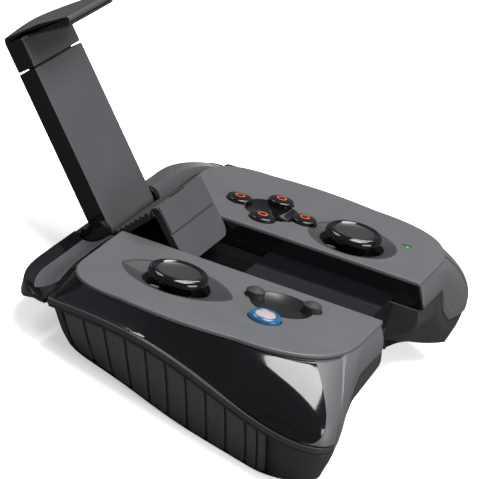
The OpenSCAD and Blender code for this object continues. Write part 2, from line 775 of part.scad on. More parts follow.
function trigger_section(k) =
    let (
        path = trigger_path(k),
        top = mix(-edge_t - 0.1, -seam_rear, smooth((path[0].x - 44) / 20)),
        low = -5.1,
        upper = [for (s = trough) let (p = mix(path[0], path[1], s[0])) [p.x, p.y, mix(top, low, s[1])]],
        lift = 3.2 * smooth((path[0].x - 54) / 9),
        lower = [for (s = [[1, -7.8], [0.94, -8.8], [0.2, -9.5], [0.03, -9.5]])
            let (p = mix(path[0], path[1], s[0])) [p.x, p.y, s[1] + lift]]
    )
    concat(upper, lower);

module trigger() {
    sections = [for (k = [0 : trigger_steps]) trigger_section(k)];
    function middle(ring) = let (n = len(ring)) [for (axis = [0 : 2]) mix(ring[1][axis], ring[n - 2][axis], 0.5)];
    difference() {
        loft(sections, middle(sections[0]), middle(sections[trigger_steps]));
        at_side_view(trigger_axis) rod_x(trigger_pin_r + running, trigger_pin_start - 0.3,
                                         trigger_pin_start + trigger_pin_len + 0.3);
        for (x = lug_spots)
            translate([x - slip, trigger_front - past, trigger_axis.y - 4])
                cube([lug_t + 2 * slip, past + 4.9, 6.3]);
    }
}

module left_trigger() {
    color([0.04, 0.04, 0.045]) seat() mirrored(true) trigger();
}

module right_trigger() {
    color([0.04, 0.04, 0.045]) seat() trigger();
}

module trigger_pin() {
    at_side_view(trigger_axis) rod_x(trigger_pin_r, trigger_pin_start, trigger_pin_start + trigger_pin_len);
}

module left_trigger_pin() {
    color("silver") seat() mirrored(true) trigger_pin();
}

module right_trigger_pin() {
    color("silver") seat() trigger_pin();
}

// Buttons: a domed cap over a flange that the face plate holds in

module push_button(spot, r, proud, dome_r) {
    flange_top = -plate_t - slip;
    translate([spot.x, spot.y, 0]) union() {
        intersection() {
            translate([0, 0, flange_top - flange_t]) cylinder(r = r, h = proud - flange_top + flange_t);
            translate([0, 0, proud - dome_r]) sphere(r = dome_r, $fn = 96);
        }
        translate([0, 0, flange_top - flange_t]) cylinder(r = r + flange_rim, h = flange_t);
    }
}

module face_button(i) {
    color([0.05, 0.05, 0.05]) seat() push_button(button_spots()[i], button_r, 1.4, 12);
}

module rear_button() { face_button(0); }
module front_button() { face_button(1); }
module inner_button() { face_button(2); }
module outer_button() { face_button(3); }

module select_button() {
    color([0.1, 0.1, 0.1]) seat() push_button(select_spot, small_button_r, 2.4, 5.4);
}

module start_button() {
    color([0.1, 0.1, 0.1]) seat() push_button(start_spot, small_button_r, 2.4, 5.4);
}

module home_button() {
    color([0.9, 0.75, 0.7]) seat() push_button(home_spot, home_r - 1.5, 1.5, 14);
}

module home_button_ring() {
    color([0.1, 0.45, 0.85, 0.8]) seat() translate([home_spot.x, home_spot.y, 0]) difference() {
        intersection() {
            translate([0, 0, -plate_t + 0.2]) cylinder(r = home_r, h = plate_t + 1.2);
            translate([0, 0, 1.4 - 10]) sphere(r = 10, $fn = 96);
        }
        translate([0, 0, -plate_t - past]) cylinder(r = home_r - 1.5 + seat_gap, h = plate_t + 4 * past);
    }
}

module status_light() {
    color("limegreen") seat() translate([light_spot.x, light_spot.y, -board_top + seat_gap])
        cylinder(r = light_r, h = board_top - seat_gap + 0.2);
}

// Sticks: a cap whose stem slides along the body in a carriage, which slides across it in a fixed base

function base_top() = plate_t + 0.2;
function base_floor() = board_top - 0.2 - 1;

module stick_cap(spot) {
    color([0.07, 0.07, 0.07]) seat() translate([spot.x, spot.y, 0]) union() {
        rotate_extrude($fn = 72) polygon([
            [0, -0.5], [stick_stem_r + 1.2, -0.5], [stick_cap_r - 1, 0.6], [stick_cap_r, 1.2], [stick_cap_r, 1.7],
            [stick_cap_r - 0.5, 2.5], [stick_cap_r - 1.4, 3], [stick_cap_r - 2.2, 2.8], [stick_cap_r - 3, 2.4],
            [0, 2.2]
        ]);
        translate([0, 0, -base_floor() + slip]) cylinder(r = stick_stem_r, h = base_floor() - slip);
    }
}

module stick_carriage(spot) {
    color([0.75, 0.75, 0.72]) seat() translate([spot.x, spot.y, -base_floor() + slip]) difference() {
        translate([-carriage_half_x, -carriage_half_y, 0])
            cube([2 * carriage_half_x, 2 * carriage_half_y, carriage_t]);
        translate([-stick_stem_r - slip, -stick_stem_r - stick_travel - slip, -past])
            cube([2 * (stick_stem_r + slip), 2 * (stick_stem_r + stick_travel + slip), carriage_t + 2 * past]);
    }
}

module stick_base(spot) {
    room_x = carriage_half_x + stick_travel + slip;
    room_y = carriage_half_y + slip;
    color([0.16, 0.16, 0.17]) seat() translate([spot.x, spot.y, -board_top + 0.2]) difference() {
        translate([-base_half, -base_half, 0]) cube([2 * base_half, 2 * base_half, board_top - 0.2 - base_top()]);
        translate([-room_x, -room_y, 1]) cube([2 * room_x, 2 * room_y, board_top]);
    }
}

module left_stick_cap() { stick_cap(stick_spots[0]); }
module right_stick_cap() { stick_cap(stick_spots[1]); }
module left_stick_carriage() { stick_carriage(stick_spots[0]); }
module right_stick_carriage() { stick_carriage(stick_spots[1]); }
module left_stick_base() { stick_base(stick_spots[0]); }
module right_stick_base() { stick_base(stick_spots[1]); }

// Membranes and boards

module membrane(from, to, spots) {
    sheet_t = 0.8;
    dome_top = -plate_t - slip - flange_t - 1.2;
    bottom = -board_top + seat_gap;
    translate([from.x, from.y, bottom]) cube([to.x - from.x, to.y - from.y, sheet_t]);
    for (spot = spots) translate([spot.x, spot.y, bottom]) cylinder(r = 2.2, h = dome_top - bottom);
}

module left_membrane() {
    color([0.6, 0.6, 0.58]) seat() membrane([-48, -32], [-23, -9], [select_spot, start_spot, home_spot]);
}

module right_membrane() {
    color([0.6, 0.6, 0.58]) seat() membrane([22.5, -9.5], [42.4, 17], button_spots());
}

module board() {
    translate([0, 0, -board_top - board_t]) linear_extrude(board_t) polygon([
        [21.4, -40], [49, -40], [49, -7], [44.5, -7], [44.5, 24], [21.4, 24]
    ]);
}

module left_board() {
    color([0.1, 0.35, 0.2]) seat() mirrored(true) board();
}

module right_board() {
    color([0.1, 0.35, 0.2]) seat() board();
}

// Batteries, trays and doors, drawn in the seated frame

module at_grip(side) {
    translate([side * grip_middle, tray_y + seat_shift, 0]) children();
}

module battery_tray(side) {
    color([0.15, 0.15, 0.16]) at_grip(side) difference() {
        translate([-tray_half, -tray_len / 2, tray_bottom]) cube([2 * tray_half, tray_len, tray_top - tray_bottom]);
        translate([-tray_half + tray_wall, -tray_inner_len / 2, tray_bottom - past])
            cube([2 * (tray_half - tray_wall), tray_inner_len, tray_top - tray_bottom - tray_wall + past]);
    }
}

module battery(side) {
    color([0.75, 0.6, 0.3]) at_grip(side) translate([0, cell_len / 2, door_t + 0.2 + cell_r]) rotate([90, 0, 0])
        union() {
            cylinder(r = cell_r, h = cell_len - 0.8);
            cylinder(r = 1.9, h = cell_len);
        }
}

module battery_contacts() {
    color("silver") for (side = [-1, 1], end = [-1, 1])
        at_grip(side)
            translate([-3.5, end * (cell_len + contact_t + 0.15) / 2 - contact_t / 2, door_t + 1.5])
                cube([7, contact_t, 8]);
}

module battery_door(side) {
    color([0.2, 0.2, 0.21]) at_grip(side) difference() {
        translate([-door_half, -door_len / 2, 0]) cube([2 * door_half, door_len, door_t]);
        for (i = [0 : 3]) translate([-3, door_len / 2 - 6 - i * 1.6, -past]) cube([6, 0.7, past + 0.5]);
    }
}

module left_battery_tray() { battery_tray(-1); }
module right_battery_tray() { battery_tray(1); }
module left_battery() { battery(-1); }
module right_battery() { battery(1); }
module left_battery_door() { battery_door(-1); }
module right_battery_door() { battery_door(1); }

left_top_cover();
right_top_cover();
left_side_panel();
right_side_panel();
bottom_shell();
left_grip_pad();
right_grip_pad();
channel_deck();
deck_screws();
phone_arm();
arm_hinge_pin();
upper_jaw();
upper_jaw_pad();
lower_jaw_shelf();
lower_jaw_pad();
lower_jaw_flap();
shelf_hinge_pin();
flap_hinge_pin();
left_trigger();
right_trigger();
left_trigger_pin();
right_trigger_pin();
rear_button();
front_button();
inner_button();
outer_button();
select_button();
start_button();
home_button();
home_button_ring();
status_light();
left_stick_cap();
right_stick_cap();
left_stick_carriage();
right_stick_carriage();
left_stick_base();
right_stick_base();
left_membrane();
right_membrane();
left_board();
right_board();
left_battery_tray();
right_battery_tray();
left_battery();
right_battery();
battery_contacts();
left_battery_door();
right_battery_door();
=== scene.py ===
"""Dresses the folding game controller: covers, gloss panels, rubber jaws, lit buttons and a plain studio."""

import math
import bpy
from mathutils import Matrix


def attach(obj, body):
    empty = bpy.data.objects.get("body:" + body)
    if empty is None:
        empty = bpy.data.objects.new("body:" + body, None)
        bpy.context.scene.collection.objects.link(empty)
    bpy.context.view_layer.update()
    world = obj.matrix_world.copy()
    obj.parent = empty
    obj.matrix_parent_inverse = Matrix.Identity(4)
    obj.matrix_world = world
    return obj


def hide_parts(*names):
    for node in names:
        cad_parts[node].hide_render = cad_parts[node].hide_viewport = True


bl_info = {
    "name": "Folding game controller",
    "version": (1, 0, 0),
    "blender": (4, 5, 0),
    "location": "View3D > Sidebar > Controller",
    "description": "Builds the visible pieces of a folding game controller around its CAD frame",
    "category": "Object",
}

from types import SimpleNamespace

import bmesh
import bpy
from mathutils import Matrix, Vector

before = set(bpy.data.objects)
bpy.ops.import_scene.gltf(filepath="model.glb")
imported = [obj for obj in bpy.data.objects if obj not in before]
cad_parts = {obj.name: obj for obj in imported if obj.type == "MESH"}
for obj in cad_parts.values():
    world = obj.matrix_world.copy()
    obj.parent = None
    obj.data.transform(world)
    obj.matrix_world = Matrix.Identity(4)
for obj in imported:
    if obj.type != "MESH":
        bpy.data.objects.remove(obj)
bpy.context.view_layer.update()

MM = 0.001

# Number of steps along each stretch of a grip's outline
INNER_STEPS = 3
NOSE_STEPS = 10
FRONT_STEPS = 40
SIDE_STEPS = 60
REAR_STEPS = 18
FRONT_FIRST = INNER_STEPS + 1 + NOSE_STEPS + 1
SIDE_START = FRONT_FIRST + FRONT_STEPS
SIDE_END = SIDE_START + SIDE_STEPS
TRIM_START = FRONT_FIRST + FRONT_STEPS // 4
PANEL_START = FRONT_FIRST + FRONT_STEPS // 2
PANEL_ROUND = FRONT_FIRST + FRONT_STEPS * 4 // 5
PANEL_END = SIDE_END + REAR_STEPS
TRIGGER_STEPS = 28

# Shares of the side's height at which the panel starts and ends
PANEL_TOP = 0.035
PANEL_LOW = 0.97

# How each value of an outline changes when the outline is drawn in
INSET_STEP = (1, 1, 0, 1, -1, 1, -1, 0, -1, -1, 0)

ANGLES = ("face_tilt", "shelf_lean", "flap_angle")
SIDES = ("left", "right")

# Gap round buttons and lugs, and where the lugs of the trigger pins stand, in millimetres
GAP = 0.3
LUG_STARTS = (24.0, 50.0)
LUG_WIDTH = 3.0


def length(description, millimetres):
    """A length that the user can change, kept in metres."""
    return bpy.props.FloatProperty(
        description=description, default=millimetres * MM, unit="LENGTH", precision=5
    )


def slope(description, degrees):
    """An angle that the user can change."""
    return bpy.props.FloatProperty(description=description, default=math.radians(degrees), subtype="ANGLE")


def colour(description, value):
    """A finish colour that the user can change."""
    return bpy.props.FloatVectorProperty(
        description=description, default=value, size=3, min=0.0, max=1.0, subtype="COLOR"
    )


class ControllerShape(bpy.types.PropertyGroup):
    """Sizes of the controller, those of the CAD frame apart from the fuller noses."""

    face_tilt: slope("Tilt of the control face when the grips stand on a table", 13.0)
    grip_depth: length("Depth of the grips below the face at the middle of the body", 25.0)
    seat_shift: length("Shift that centres the part on its origin", -12.5)
    face_front: length("Front edge of the face", -45.0)
    face_rear: length("Rear edge of the face", 28.8)
    face_half: length("Half width of the face", 62.0)
    plate_t: length("Thickness of the face plate", 3.2)
    cover_wall: length("Wall of the covers", 2.2)
    edge_t: length("Height of the face's edge above the side panels", 0.95)
    rim_half: length("Half width of the body at the rim", 69.6)
    rim_h: length("Height of the matt rim at the sides", 1.8)
    inner_seam: length("Depth of the parting line at the channel", 7.2)
    seam_rear: length("Depth of the rim at the rear of the sides", 3.6)
    seam_drop: length("Fall of the rim from the rear to the front", 14.6)
    nose_reach: length("How far the noses reach in front of the face", 7.6)
    panel_t: length("Depth of the side panels' recess", 1.0)
    shell_wall: length("Wall of the bottom shell", 2.0)
    grip_bottom_half: length("Half width of the grips at their bottom edge", 61.5)
    pad_t: length("Depth of the ribbed pads' recess", 1.3)
    groove_depth: length("Depth of the grooves between the ribs", 0.9)
    bow_start: length("Where the underside starts to rise towards the noses", -30.8)
    pan_depth: length("Depth of the pan under the channel", 16.9)
    pan_t: length("Thickness of the pan", 2.0)
    channel_half: length("Half width of the arm channel", 17.46)
    deck_wall: length("Wall beside the arm channel", 1.14)
    deck_front: length("Front edge of the deck", -39.0)
    trigger_inner: length("Inner end of the triggers", 20.1)
    trigger_rear: length("Reach of the triggers' lip", 41.9)
    trigger_half: length("Half width of the body at the triggers", 70.0)
    stick_cap_r: length("Radius of the stick caps", 8.0)
    stick_stem_r: length("Radius of the sticks' stems", 4.2)
    stick_hole_r: length("Radius of the holes for the sticks", 9.0)
    button_r: length("Radius of the face buttons", 3.5)
    small_button_r: length("Radius of the select and start buttons", 2.5)
    home_r: length("Radius of the home button", 4.25)
    light_r: length("Radius of the status light", 1.25)
    shelf_lean: slope("Lean of the open shelf from the face", 47.2)
    flap_angle: slope("Angle between the shelf and the open flap", 95.0)
    shelf_len: length("Length of the shelf from its hinge to the flap's hinge", 19.49)
    shelf_top: length("Height of the shelf's gripping face above its hinge", 1.98)
    shelf_hinge_y: length("Place of the shelf's hinge behind the middle of the body", 34.0)
    shelf_hinge_depth: length("Depth of the shelf's hinge below the face", 7.5)
    jaw_half: length("Half width of the lower jaw", 16.88)
    flap_len: length("Length of the flap from its hinge", 16.1)
    barrel_r: length("Radius of the flap's hinge barrel", 1.4)
    rubber_t: length("Thickness of the rubber on the jaws", 0.88)


class ControllerFinish(bpy.types.PropertyGroup):
    """Colours of the controller."""

    face_grey: colour("Soft-touch grey of the covers", (0.069, 0.07, 0.074))
    shell_grey: colour("Matt charcoal of the bottom shell", (0.022, 0.022, 0.025))
    pad_grey: colour("Matt charcoal of the ribbed pads", (0.038, 0.039, 0.044))
    gloss_black: colour("Polished black of the panels, deck, arm and triggers", (0.004, 0.004, 0.005))
    jaw_black: colour("Satin black of the jaws' edges and hinges", (0.008, 0.008, 0.009))
    satin_grey: colour("Satin grey of the fronts of the arm and jaws", (0.048, 0.049, 0.052))
    stick_grey: colour("Satin rubber of the stick caps", (0.024, 0.024, 0.025))
    rubber_black: colour("Rubber of the jaw pads and small buttons", (0.012, 0.012, 0.013))
    mark_orange: colour("Orange rings on the face buttons", (0.45, 0.07, 0.02))
    ring_blue: colour("Lit ring of the home button", (0.014, 0.078, 0.17))
    light_green: colour("Lit status light", (0.015, 0.11, 0.02))


def sizes(context):
    """Lengths of the shape in millimetres, its angles in radians, and the outlines that follow from them."""
    shape = context.scene.controller_shape
    values = {}
    for name in ControllerShape.__annotations__:
        value = getattr(shape, name)
        values[name] = value if name in ANGLES else value / MM
    s = SimpleNamespace(**values)
    s.cover_inner = s.channel_half + s.deck_wall + 0.2
    front = s.face_front
    tip = front - s.nose_reach
    side_front = -34.0
    bend = 42.0
    waist_half = mix(s.rim_half - 1.4, s.grip_bottom_half, 0.42)
    # An outline: inner x and y, bend x and y, outer front x and y, rounding of that corner, bulge of the
    # side, rear y, rounding of the rear corner, fullness of the front corner
    s.face = (s.channel_half, front, 30, front, s.face_half, front, 26, 1.7, s.face_rear, 16, 1.0)
    s.under = (s.cover_inner,) + s.face[1:]
    s.rim = (
        s.cover_inner, front - 2, bend, front - 2, s.rim_half, tip,
        side_front - tip, 0.8, s.face_rear - 0.4, 1.2, 2.0,
    )
    s.upper = (
        s.channel_half, front - 1.7, bend, front - 1.7, s.rim_half - 1.4, tip + 1.4,
        side_front - tip - 1.4, 0.8, s.face_rear - 1.4, 3, 2.9,
    )
    s.waist = (
        s.channel_half, front - 1.5, bend, front - 1.5, waist_half, tip + 1.9,
        side_front - tip - 2.4, 0.8, s.face_rear - 3.9, 3, 3.0,
    )
    s.edge = (
        s.channel_half, front + 5.5, 33.5, front + 5.5, s.grip_bottom_half, tip + 2.4,
        side_front - tip - 2.9, 0.8, s.face_rear - 5.2, 3.5, 2.8,
    )
    s.grip_middle = s.grip_bottom_half - 11.5
    s.land = (
        s.grip_middle - 9, front + 5.3, s.grip_middle - 3, front + 4.8, s.grip_bottom_half - 4.3, front + 3.8,
        6, 0.4, s.face_rear - 10.5, 5, 1.5,
    )
    flat_front = s.bow_start + 0.4
    s.flat = (
        s.grip_middle - 8.6, flat_front, s.grip_middle - 3, flat_front, s.grip_bottom_half - 4.7, flat_front,
        4, 0.4, s.face_rear - 10.9, 4, 1.5,
    )
    return s


# Arithmetic of the grip's outlines and heights, in millimetres with the face level at zero


def mix(a, b, t):
    """The value a share t of the way from a to b."""
    return a + (b - a) * t


def between(p, q, t):
    """Point or outline values a share t of the way from p to q."""
    return tuple(mix(a, b, t) for a, b in zip(p, q))


def smooth(t):
    """Soft step from 0 to 1."""
    c = min(1.0, max(0.0, t))
    return c * c * (3 - 2 * c)


def inset(spec, d):
    """Outline values drawn in by a distance."""
    return tuple(value + d * step for value, step in zip(spec, INSET_STEP))


def corner(before, at, after, turn, steps, fullness=1.0):
    """A corner that leaves both edges at the same distance; a fuller one comes nearer to the corner."""
    p = at + turn * (before - at).normalized()
    q = at + turn * (after - at).normalized()
    points = []
    for i in range(steps + 1):
        t = i / steps
        start = (1 - t) * (1 - t)
        middle = 2 * t * (1 - t) * fullness
        end = t * t
        points.append((start * p + middle * at + end * q) / (start + middle + end))
    return points


def outline(spec):
    """Outline of the right grip at one level, always with the same number of points."""
    a = Vector((spec[0], spec[1]))
    b = Vector((spec[2], spec[3]))
    c = Vector((spec[4], spec[5]))
    d = Vector((spec[4], spec[8]))
    e = Vector((spec[0], spec[8]))
    front = corner(b, c, d, max(2.0, spec[6]), FRONT_STEPS, spec[10])
    rear = corner(c, d, e, max(0.8, spec[9]), REAR_STEPS)
    side = []
    for i in range(1, SIDE_STEPS):
        t = i / SIDE_STEPS
        side.append(mix(front[-1], rear[0], t) + Vector((spec[7] * math.sin(math.pi * t), 0)))
    return (
        corner(e, a, b, 0.6, INNER_STEPS)
        + corner(a, b, c, 4.0, NOSE_STEPS)
        + front
        + side
        + rear
        + corner(d, e, a, 0.6, INNER_STEPS)
    )


def outward(p):
    """0 at the channel side of a grip, 1 at its outer side."""
    return smooth((p[0] - 37) / 14)


def seam_z(s, p):
    """Height of the line under the side panel and the nose."""
    u = min(1.0, max(0.0, (26 - p[1]) / 71))
    side = -s.seam_rear - s.seam_drop * (1 - math.cos(math.pi * u ** 1.35)) / 2
    return mix(-s.inner_seam, side, outward(p))


def rim_z(s, p):
    """Height of the lower edge of the matt rim."""
    return seam_z(s, p) - s.rim_h * outward(p)


def belly_z(s, p):
    """Height of the grip's underside, flat where it rests and leaning inwards like a hull under the nose."""
    bow = 0.038 * max(0.0, s.bow_start - p[1]) ** 1.8
    flat = -s.grip_depth + math.tan(s.face_tilt) * p[1] + bow
    hull = min(1.0, max(0.0, (p[0] - s.channel_half) / 42))
    reach = mix(smooth((p[0] - 20) / 20), hull, smooth((s.bow_start - p[1]) / 10))
    return mix(-s.pan_depth - 1.8, flat, reach)


def edge_rise(p):
    """Height of the grip's bottom edge above its underside."""
    return 0.3 + 2.5 * smooth((p[1] + 15) / 38)


def level(spec, z):
    """Ring at one height."""
    return [(p[0], p[1], z) for p in outline(spec)]


def cover_level(s, spec, t):
    """Ring a share t of the way from the face's edge to the rim."""
    return [(p[0], p[1], mix(-s.edge_t, seam_z(s, p), t)) for p in outline(spec)]


def rim_level(s, spec, drop):
    """Ring along the rim's lower edge."""
    return [(p[0], p[1], rim_z(s, p) - drop) for p in outline(spec)]


def shell_level(s, spec, share, rise):
    """Ring a share of the way from the rim to the belly."""
    return [(p[0], p[1], mix(rim_z(s, p), belly_z(s, p), share) + rise) for p in outline(spec)]


def flared_point(s, p, q, t):
    """Point of the flared side between the face's edge p and the rim q."""
    share = mix(t ** 1.3, 1 - (1 - t) ** 2, smooth((-12 - q[1]) / 30))
    spot = mix(p, q, share)
    return (spot[0], spot[1], mix(-s.edge_t, seam_z(s, spot), t))


def flared_level(s, t, drawn_in):
    """Ring down the flared side, which swells into a rounded nose at the front."""
    top = outline(inset(s.under, drawn_in))
    low = outline(inset(s.rim, drawn_in))
    return [flared_point(s, p, q, t) for p, q in zip(top, low)]


def recessed(outer, inner, first, last):
    """Outer ring with one stretch of it drawn in."""
    return [inner[j] if first <= j <= last else outer[j] for j in range(len(outer))]


def through(knots, t):
    """Smooth curve through evenly spaced rows of values, t from 0 to the last row's number."""
    last = len(knots) - 1
    i = min(int(t), last - 1)
    u = t - i
    rows = [knots[max(0, i - 1)], knots[i], knots[i + 1], knots[min(last, i + 2)]]
    result = []
    for p0, p1, p2, p3 in zip(*rows):
        a = 2 * p1
        b = p2 - p0
        c = 2 * p0 - 5 * p1 + 4 * p2 - p3
        d = 3 * p1 - p0 - 3 * p2 + p3
        result.append(0.5 * (a + b * u + c * u * u + d * u * u * u))
    return result


def grip_side(s, t, drawn_in):
    """Ring of the grip's outer side: t is 0 at the rim, 1 at the waist and 2 at the bottom edge."""
    knots = [s.upper + (0.0, -0.7, 0.0), s.waist + (0.5, 0.0, 0.0), s.edge + (1.0, 0.0, 1.0)]
    row = through(knots, t)
    ring = []
    for p in outline(inset(row[:11], drawn_in)):
        z = mix(rim_z(s, p), belly_z(s, p), row[11]) + row[12] + row[13] * edge_rise(p)
        ring.append((p[0], p[1], z))
    return ring


def edge_level(s, spec, share, rise):
    """Ring above the underside by a share of the bottom edge's height and a rise."""
    return [(p[0], p[1], belly_z(s, p) + share * edge_rise(p) + rise) for p in outline(spec)]


def seated(s, point):
    """A point of the level face frame, in millimetres, in the row frame in metres."""
    x, y, z = point
    cosine = math.cos(s.face_tilt)
    sine = math.sin(s.face_tilt)
    return Vector((
        x * MM,
        (y * cosine + z * sine + s.seat_shift) * MM,
        (-y * sine + z * cosine + s.grip_depth * cosine) * MM,
    ))


def turned(point, angle):
    """A point turned about the x axis."""
    x, y, z = point
    return (x, y * math.cos(angle) - z * math.sin(angle), y * math.sin(angle) + z * math.cos(angle))


def on_shelf(s, point):
    """A point of the open shelf's frame, z along the shelf, in the face frame."""
    x, y, z = turned(point, math.pi / 2 - s.shelf_lean)
    return (x, y + s.shelf_hinge_y, z - s.shelf_hinge_depth)


def on_flap(s, point):
    """A point of the open flap's frame, z along the flap, in the face frame."""
    x, y, z = turned(point, s.flap_angle)
    return on_shelf(s, (x, y + s.shelf_top - s.barrel_r, z + s.shelf_len))


# Mesh making


def mesh_object(name, vertices, faces):
    """New mesh object in the scene."""
    mesh = bpy.data.meshes.new(name)
    mesh.from_pydata([tuple(v) for v in vertices], [], faces)
    mesh.update()
    obj = bpy.data.objects.new(name, mesh)
    bpy.context.scene.collection.objects.link(obj)
    return obj


def ring_faces(count, n, closed=True):
    """Quads between successive rings that run down the outside, with both ends filled."""
    faces = []
    for i in range(count - 1):
        for j in range(n):
            k = (j + 1) % n
            faces.append((i * n + j, (i + 1) * n + j, (i + 1) * n + k, i * n + k))
    if closed:
        faces.append(tuple(range(n)))
        faces.append(tuple(reversed(range((count - 1) * n, count * n))))
    return faces


def loft(name, s, rings, left, looks=(), chosen=None):
    """Closed solid through rings of the face frame; chosen gives a face's finish by its ring and place."""
    side = -1 if left else 1
    vertices = [seated(s, (side * x, y, z)) for ring in rings for x, y, z in ring]
    n = len(rings[0])
    faces = ring_faces(len(rings), n)
    if left:
        faces = [tuple(reversed(f)) for f in faces]
    obj = mesh_object(name, vertices, faces)
    for look in looks:
        obj.data.materials.append(look)
    if chosen:
        for index in range((len(rings) - 1) * n):
            obj.data.polygons[index].material_index = chosen(index // n, index % n)
    return obj


def slab(name, s, outer, inner, left):
    """Curved slab between an outer and an inner grid of points."""
    side = -1 if left else 1
    rows = len(outer)
    columns = len(outer[0])
    back = rows * columns
    vertices = [seated(s, (side * x, y, z)) for grid in (outer, inner) for row in grid for x, y, z in row]
    faces = []
    for i in range(rows - 1):
        for j in range(columns - 1):
            a = i * columns + j
            faces.append((a, a + columns, a + columns + 1, a + 1))
            b = back + a
            faces.append((b, b + 1, b + columns + 1, b + columns))
    rim = list(range(columns))
    rim += [i * columns + columns - 1 for i in range(1, rows)]
    rim += [(rows - 1) * columns + j for j in reversed(range(columns - 1))]
    rim += [i * columns for i in reversed(range(1, rows - 1))]
    for p, q in zip(rim, rim[1:] + rim[:1]):
        faces.append((p, q, q + back, p + back))
    if left:
        faces = [tuple(reversed(f)) for f in faces]
    return mesh_object(name, vertices, faces)


def lathe(name, s, spot, profile, steps=72, looks=(), chosen=None):
    """Turned piece on the face; the profile runs from the top of its axis down and back to it."""
    rings = []
    for r, z in profile:
        ring = []
        for i in range(steps):
            a = 2 * math.pi * i / steps
            ring.append((spot[0] + max(r, 0.004) * math.cos(a), spot[1] + max(r, 0.004) * math.sin(a), z))
        rings.append(ring)
    return loft(name, s, rings, False, looks, chosen)


def box_points(x0, x1, y0, y1, z0, z1):
    """Corners of a box."""
    return [(x, y, z) for x in (x0, x1) for y in (y0, y1) for z in (z0, z1)]


BOX_FACES = [(0, 1, 3, 2), (4, 6, 7, 5), (0, 4, 5, 1), (2, 3, 7, 6), (0, 2, 6, 4), (1, 5, 7, 3)]


def face_box(name, s, x0, x1, y0, y1, z0, z1):
    """Box in the face frame."""
    return mesh_object(name, [seated(s, p) for p in box_points(x0, x1, y0, y1, z0, z1)], BOX_FACES)


def row_box(name, x0, x1, y0, y1, z0, z1):
    """Box in the row frame, in millimetres."""
    return mesh_object(name, [Vector(p) * MM for p in box_points(x0, x1, y0, y1, z0, z1)], BOX_FACES)


def ball(name, s, centre, r, material=None):
    """Sphere in the face frame, for hollowing."""
    obj = mesh_object(name, [], [])
    bm = bmesh.new()
    bmesh.ops.create_uvsphere(bm, u_segments=160, v_segments=96, radius=r)
    for v in bm.verts:
        v.co = seated(s, v.co + Vector(centre))
    bm.to_mesh(obj.data)
    bm.free()
    if material:
        obj.data.materials.append(material)
    return obj


def settled(obj):
    """Replaces the object's mesh by its evaluated one and drops its modifiers."""
    bpy.context.view_layer.update()
    evaluated = obj.evaluated_get(bpy.context.evaluated_depsgraph_get())
    mesh = bpy.data.meshes.new_from_object(evaluated)
    mesh.name = obj.name
    obj.modifiers.clear()
    old = obj.data
    obj.data = mesh
    bpy.data.meshes.remove(old)
    return obj


def righted(obj):
    """Turns all faces of a closed mesh outwards."""
    bm = bmesh.new()
    bm.from_mesh(obj.data)
    bmesh.ops.recalc_face_normals(bm, faces=bm.faces)
    bm.to_mesh(obj.data)
    bm.free()
    return obj


def carved(obj, cutters, operation="DIFFERENCE"):
    """Cuts the cutters out of the object; cut faces take the cutter's material."""
    for cutter in cutters:
        cut = obj.modifiers.new("cut", "BOOLEAN")
        cut.operation = operation
        cut.solver = "EXACT"
        cut.material_mode = "TRANSFER"
        cut.object = cutter
    settled(obj)
    for cutter in cutters:
        bpy.data.objects.remove(cutter)
    return obj


def softened(obj, width, segments=2, angle=32):
    """Rounds the object's sharp edges by a small bevel."""
    bevel = obj.modifiers.new("soft_edges", "BEVEL")
    bevel.width = width * MM
    bevel.segments = segments
    bevel.limit_method = "ANGLE"
    bevel.angle_limit = math.radians(angle)
    bevel.use_clamp_overlap = True
    return settled(obj)


def shaded(obj, angle=32):
    """Smooth shading that keeps edges sharper than the angle and follows the large faces."""
    bm = bmesh.new()
    bm.from_mesh(obj.data)
    for face in bm.faces:
        face.smooth = True
    for edge in bm.edges:
        edge.smooth = edge.is_manifold and edge.calc_face_angle(0.0) < math.radians(angle)
    bm.to_mesh(obj.data)
    bm.free()
    weighted = obj.modifiers.new("even_normals", "WEIGHTED_NORMAL")
    weighted.keep_sharp = True
    return settled(obj)


def cad_copy(node, name):
    """Welded copy of a CAD node with its flat faces made whole, ready to be softened."""
    obj = mesh_object(name, [], [])
    bm = bmesh.new()
    bm.from_mesh(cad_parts[node].data)
    bmesh.ops.remove_doubles(bm, verts=bm.verts, dist=2e-6)
    bmesh.ops.dissolve_limit(bm, angle_limit=math.radians(0.5), verts=bm.verts, edges=bm.edges)
    bm.to_mesh(obj.data)
    bm.free()
    return obj


def faced(obj, sides, rest):
    """Gives the left and right sides of a piece their own finish and everything else another."""
    obj.data.materials.clear()
    obj.data.materials.append(sides)
    obj.data.materials.append(rest)
    for face in obj.data.polygons:
        face.material_index = 0 if abs(face.normal.x) > 0.6 else 1
    return obj


def placed(obj, body, material=None, nodes=()):
    """Gives a finished piece its material where one is given, hangs it on its body and hides the CAD nodes
    that it stands for.
    """
    if material:
        obj.data.materials.clear()
        obj.data.materials.append(material)
    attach(obj, body)
    if nodes:
        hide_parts(*nodes)
    return obj


def dressed(node, name, width, segments, body, look, sides=None):
    """Softened copy of a CAD node in its finish, with another on its left and right sides where given."""
    obj = shaded(softened(cad_copy(node, name), width, segments))
    if sides:
        faced(obj, sides, look)
    return placed(obj, body, None if sides else look, [node])


# Shader groups and materials


def connect(tree, node, inputs):
    """Links a node's inputs to sockets or sets them to values."""
    for name, value in inputs.items():
        if isinstance(value, bpy.types.NodeSocket):
            tree.links.new(value, node.inputs[name])
        else:
            node.inputs[name].default_value = value
    return node


def new_node(tree, kind, inputs=None, **settings):
    """New node with its settings and inputs."""
    node = tree.nodes.new(kind)
    for name, value in settings.items():
        setattr(node, name, value)
    return connect(tree, node, inputs or {})


def maths(tree, operation, *values):
    """Output of a math node on sockets and numbers."""
    return new_node(tree, "ShaderNodeMath", dict(enumerate(values)), operation=operation).outputs[0]


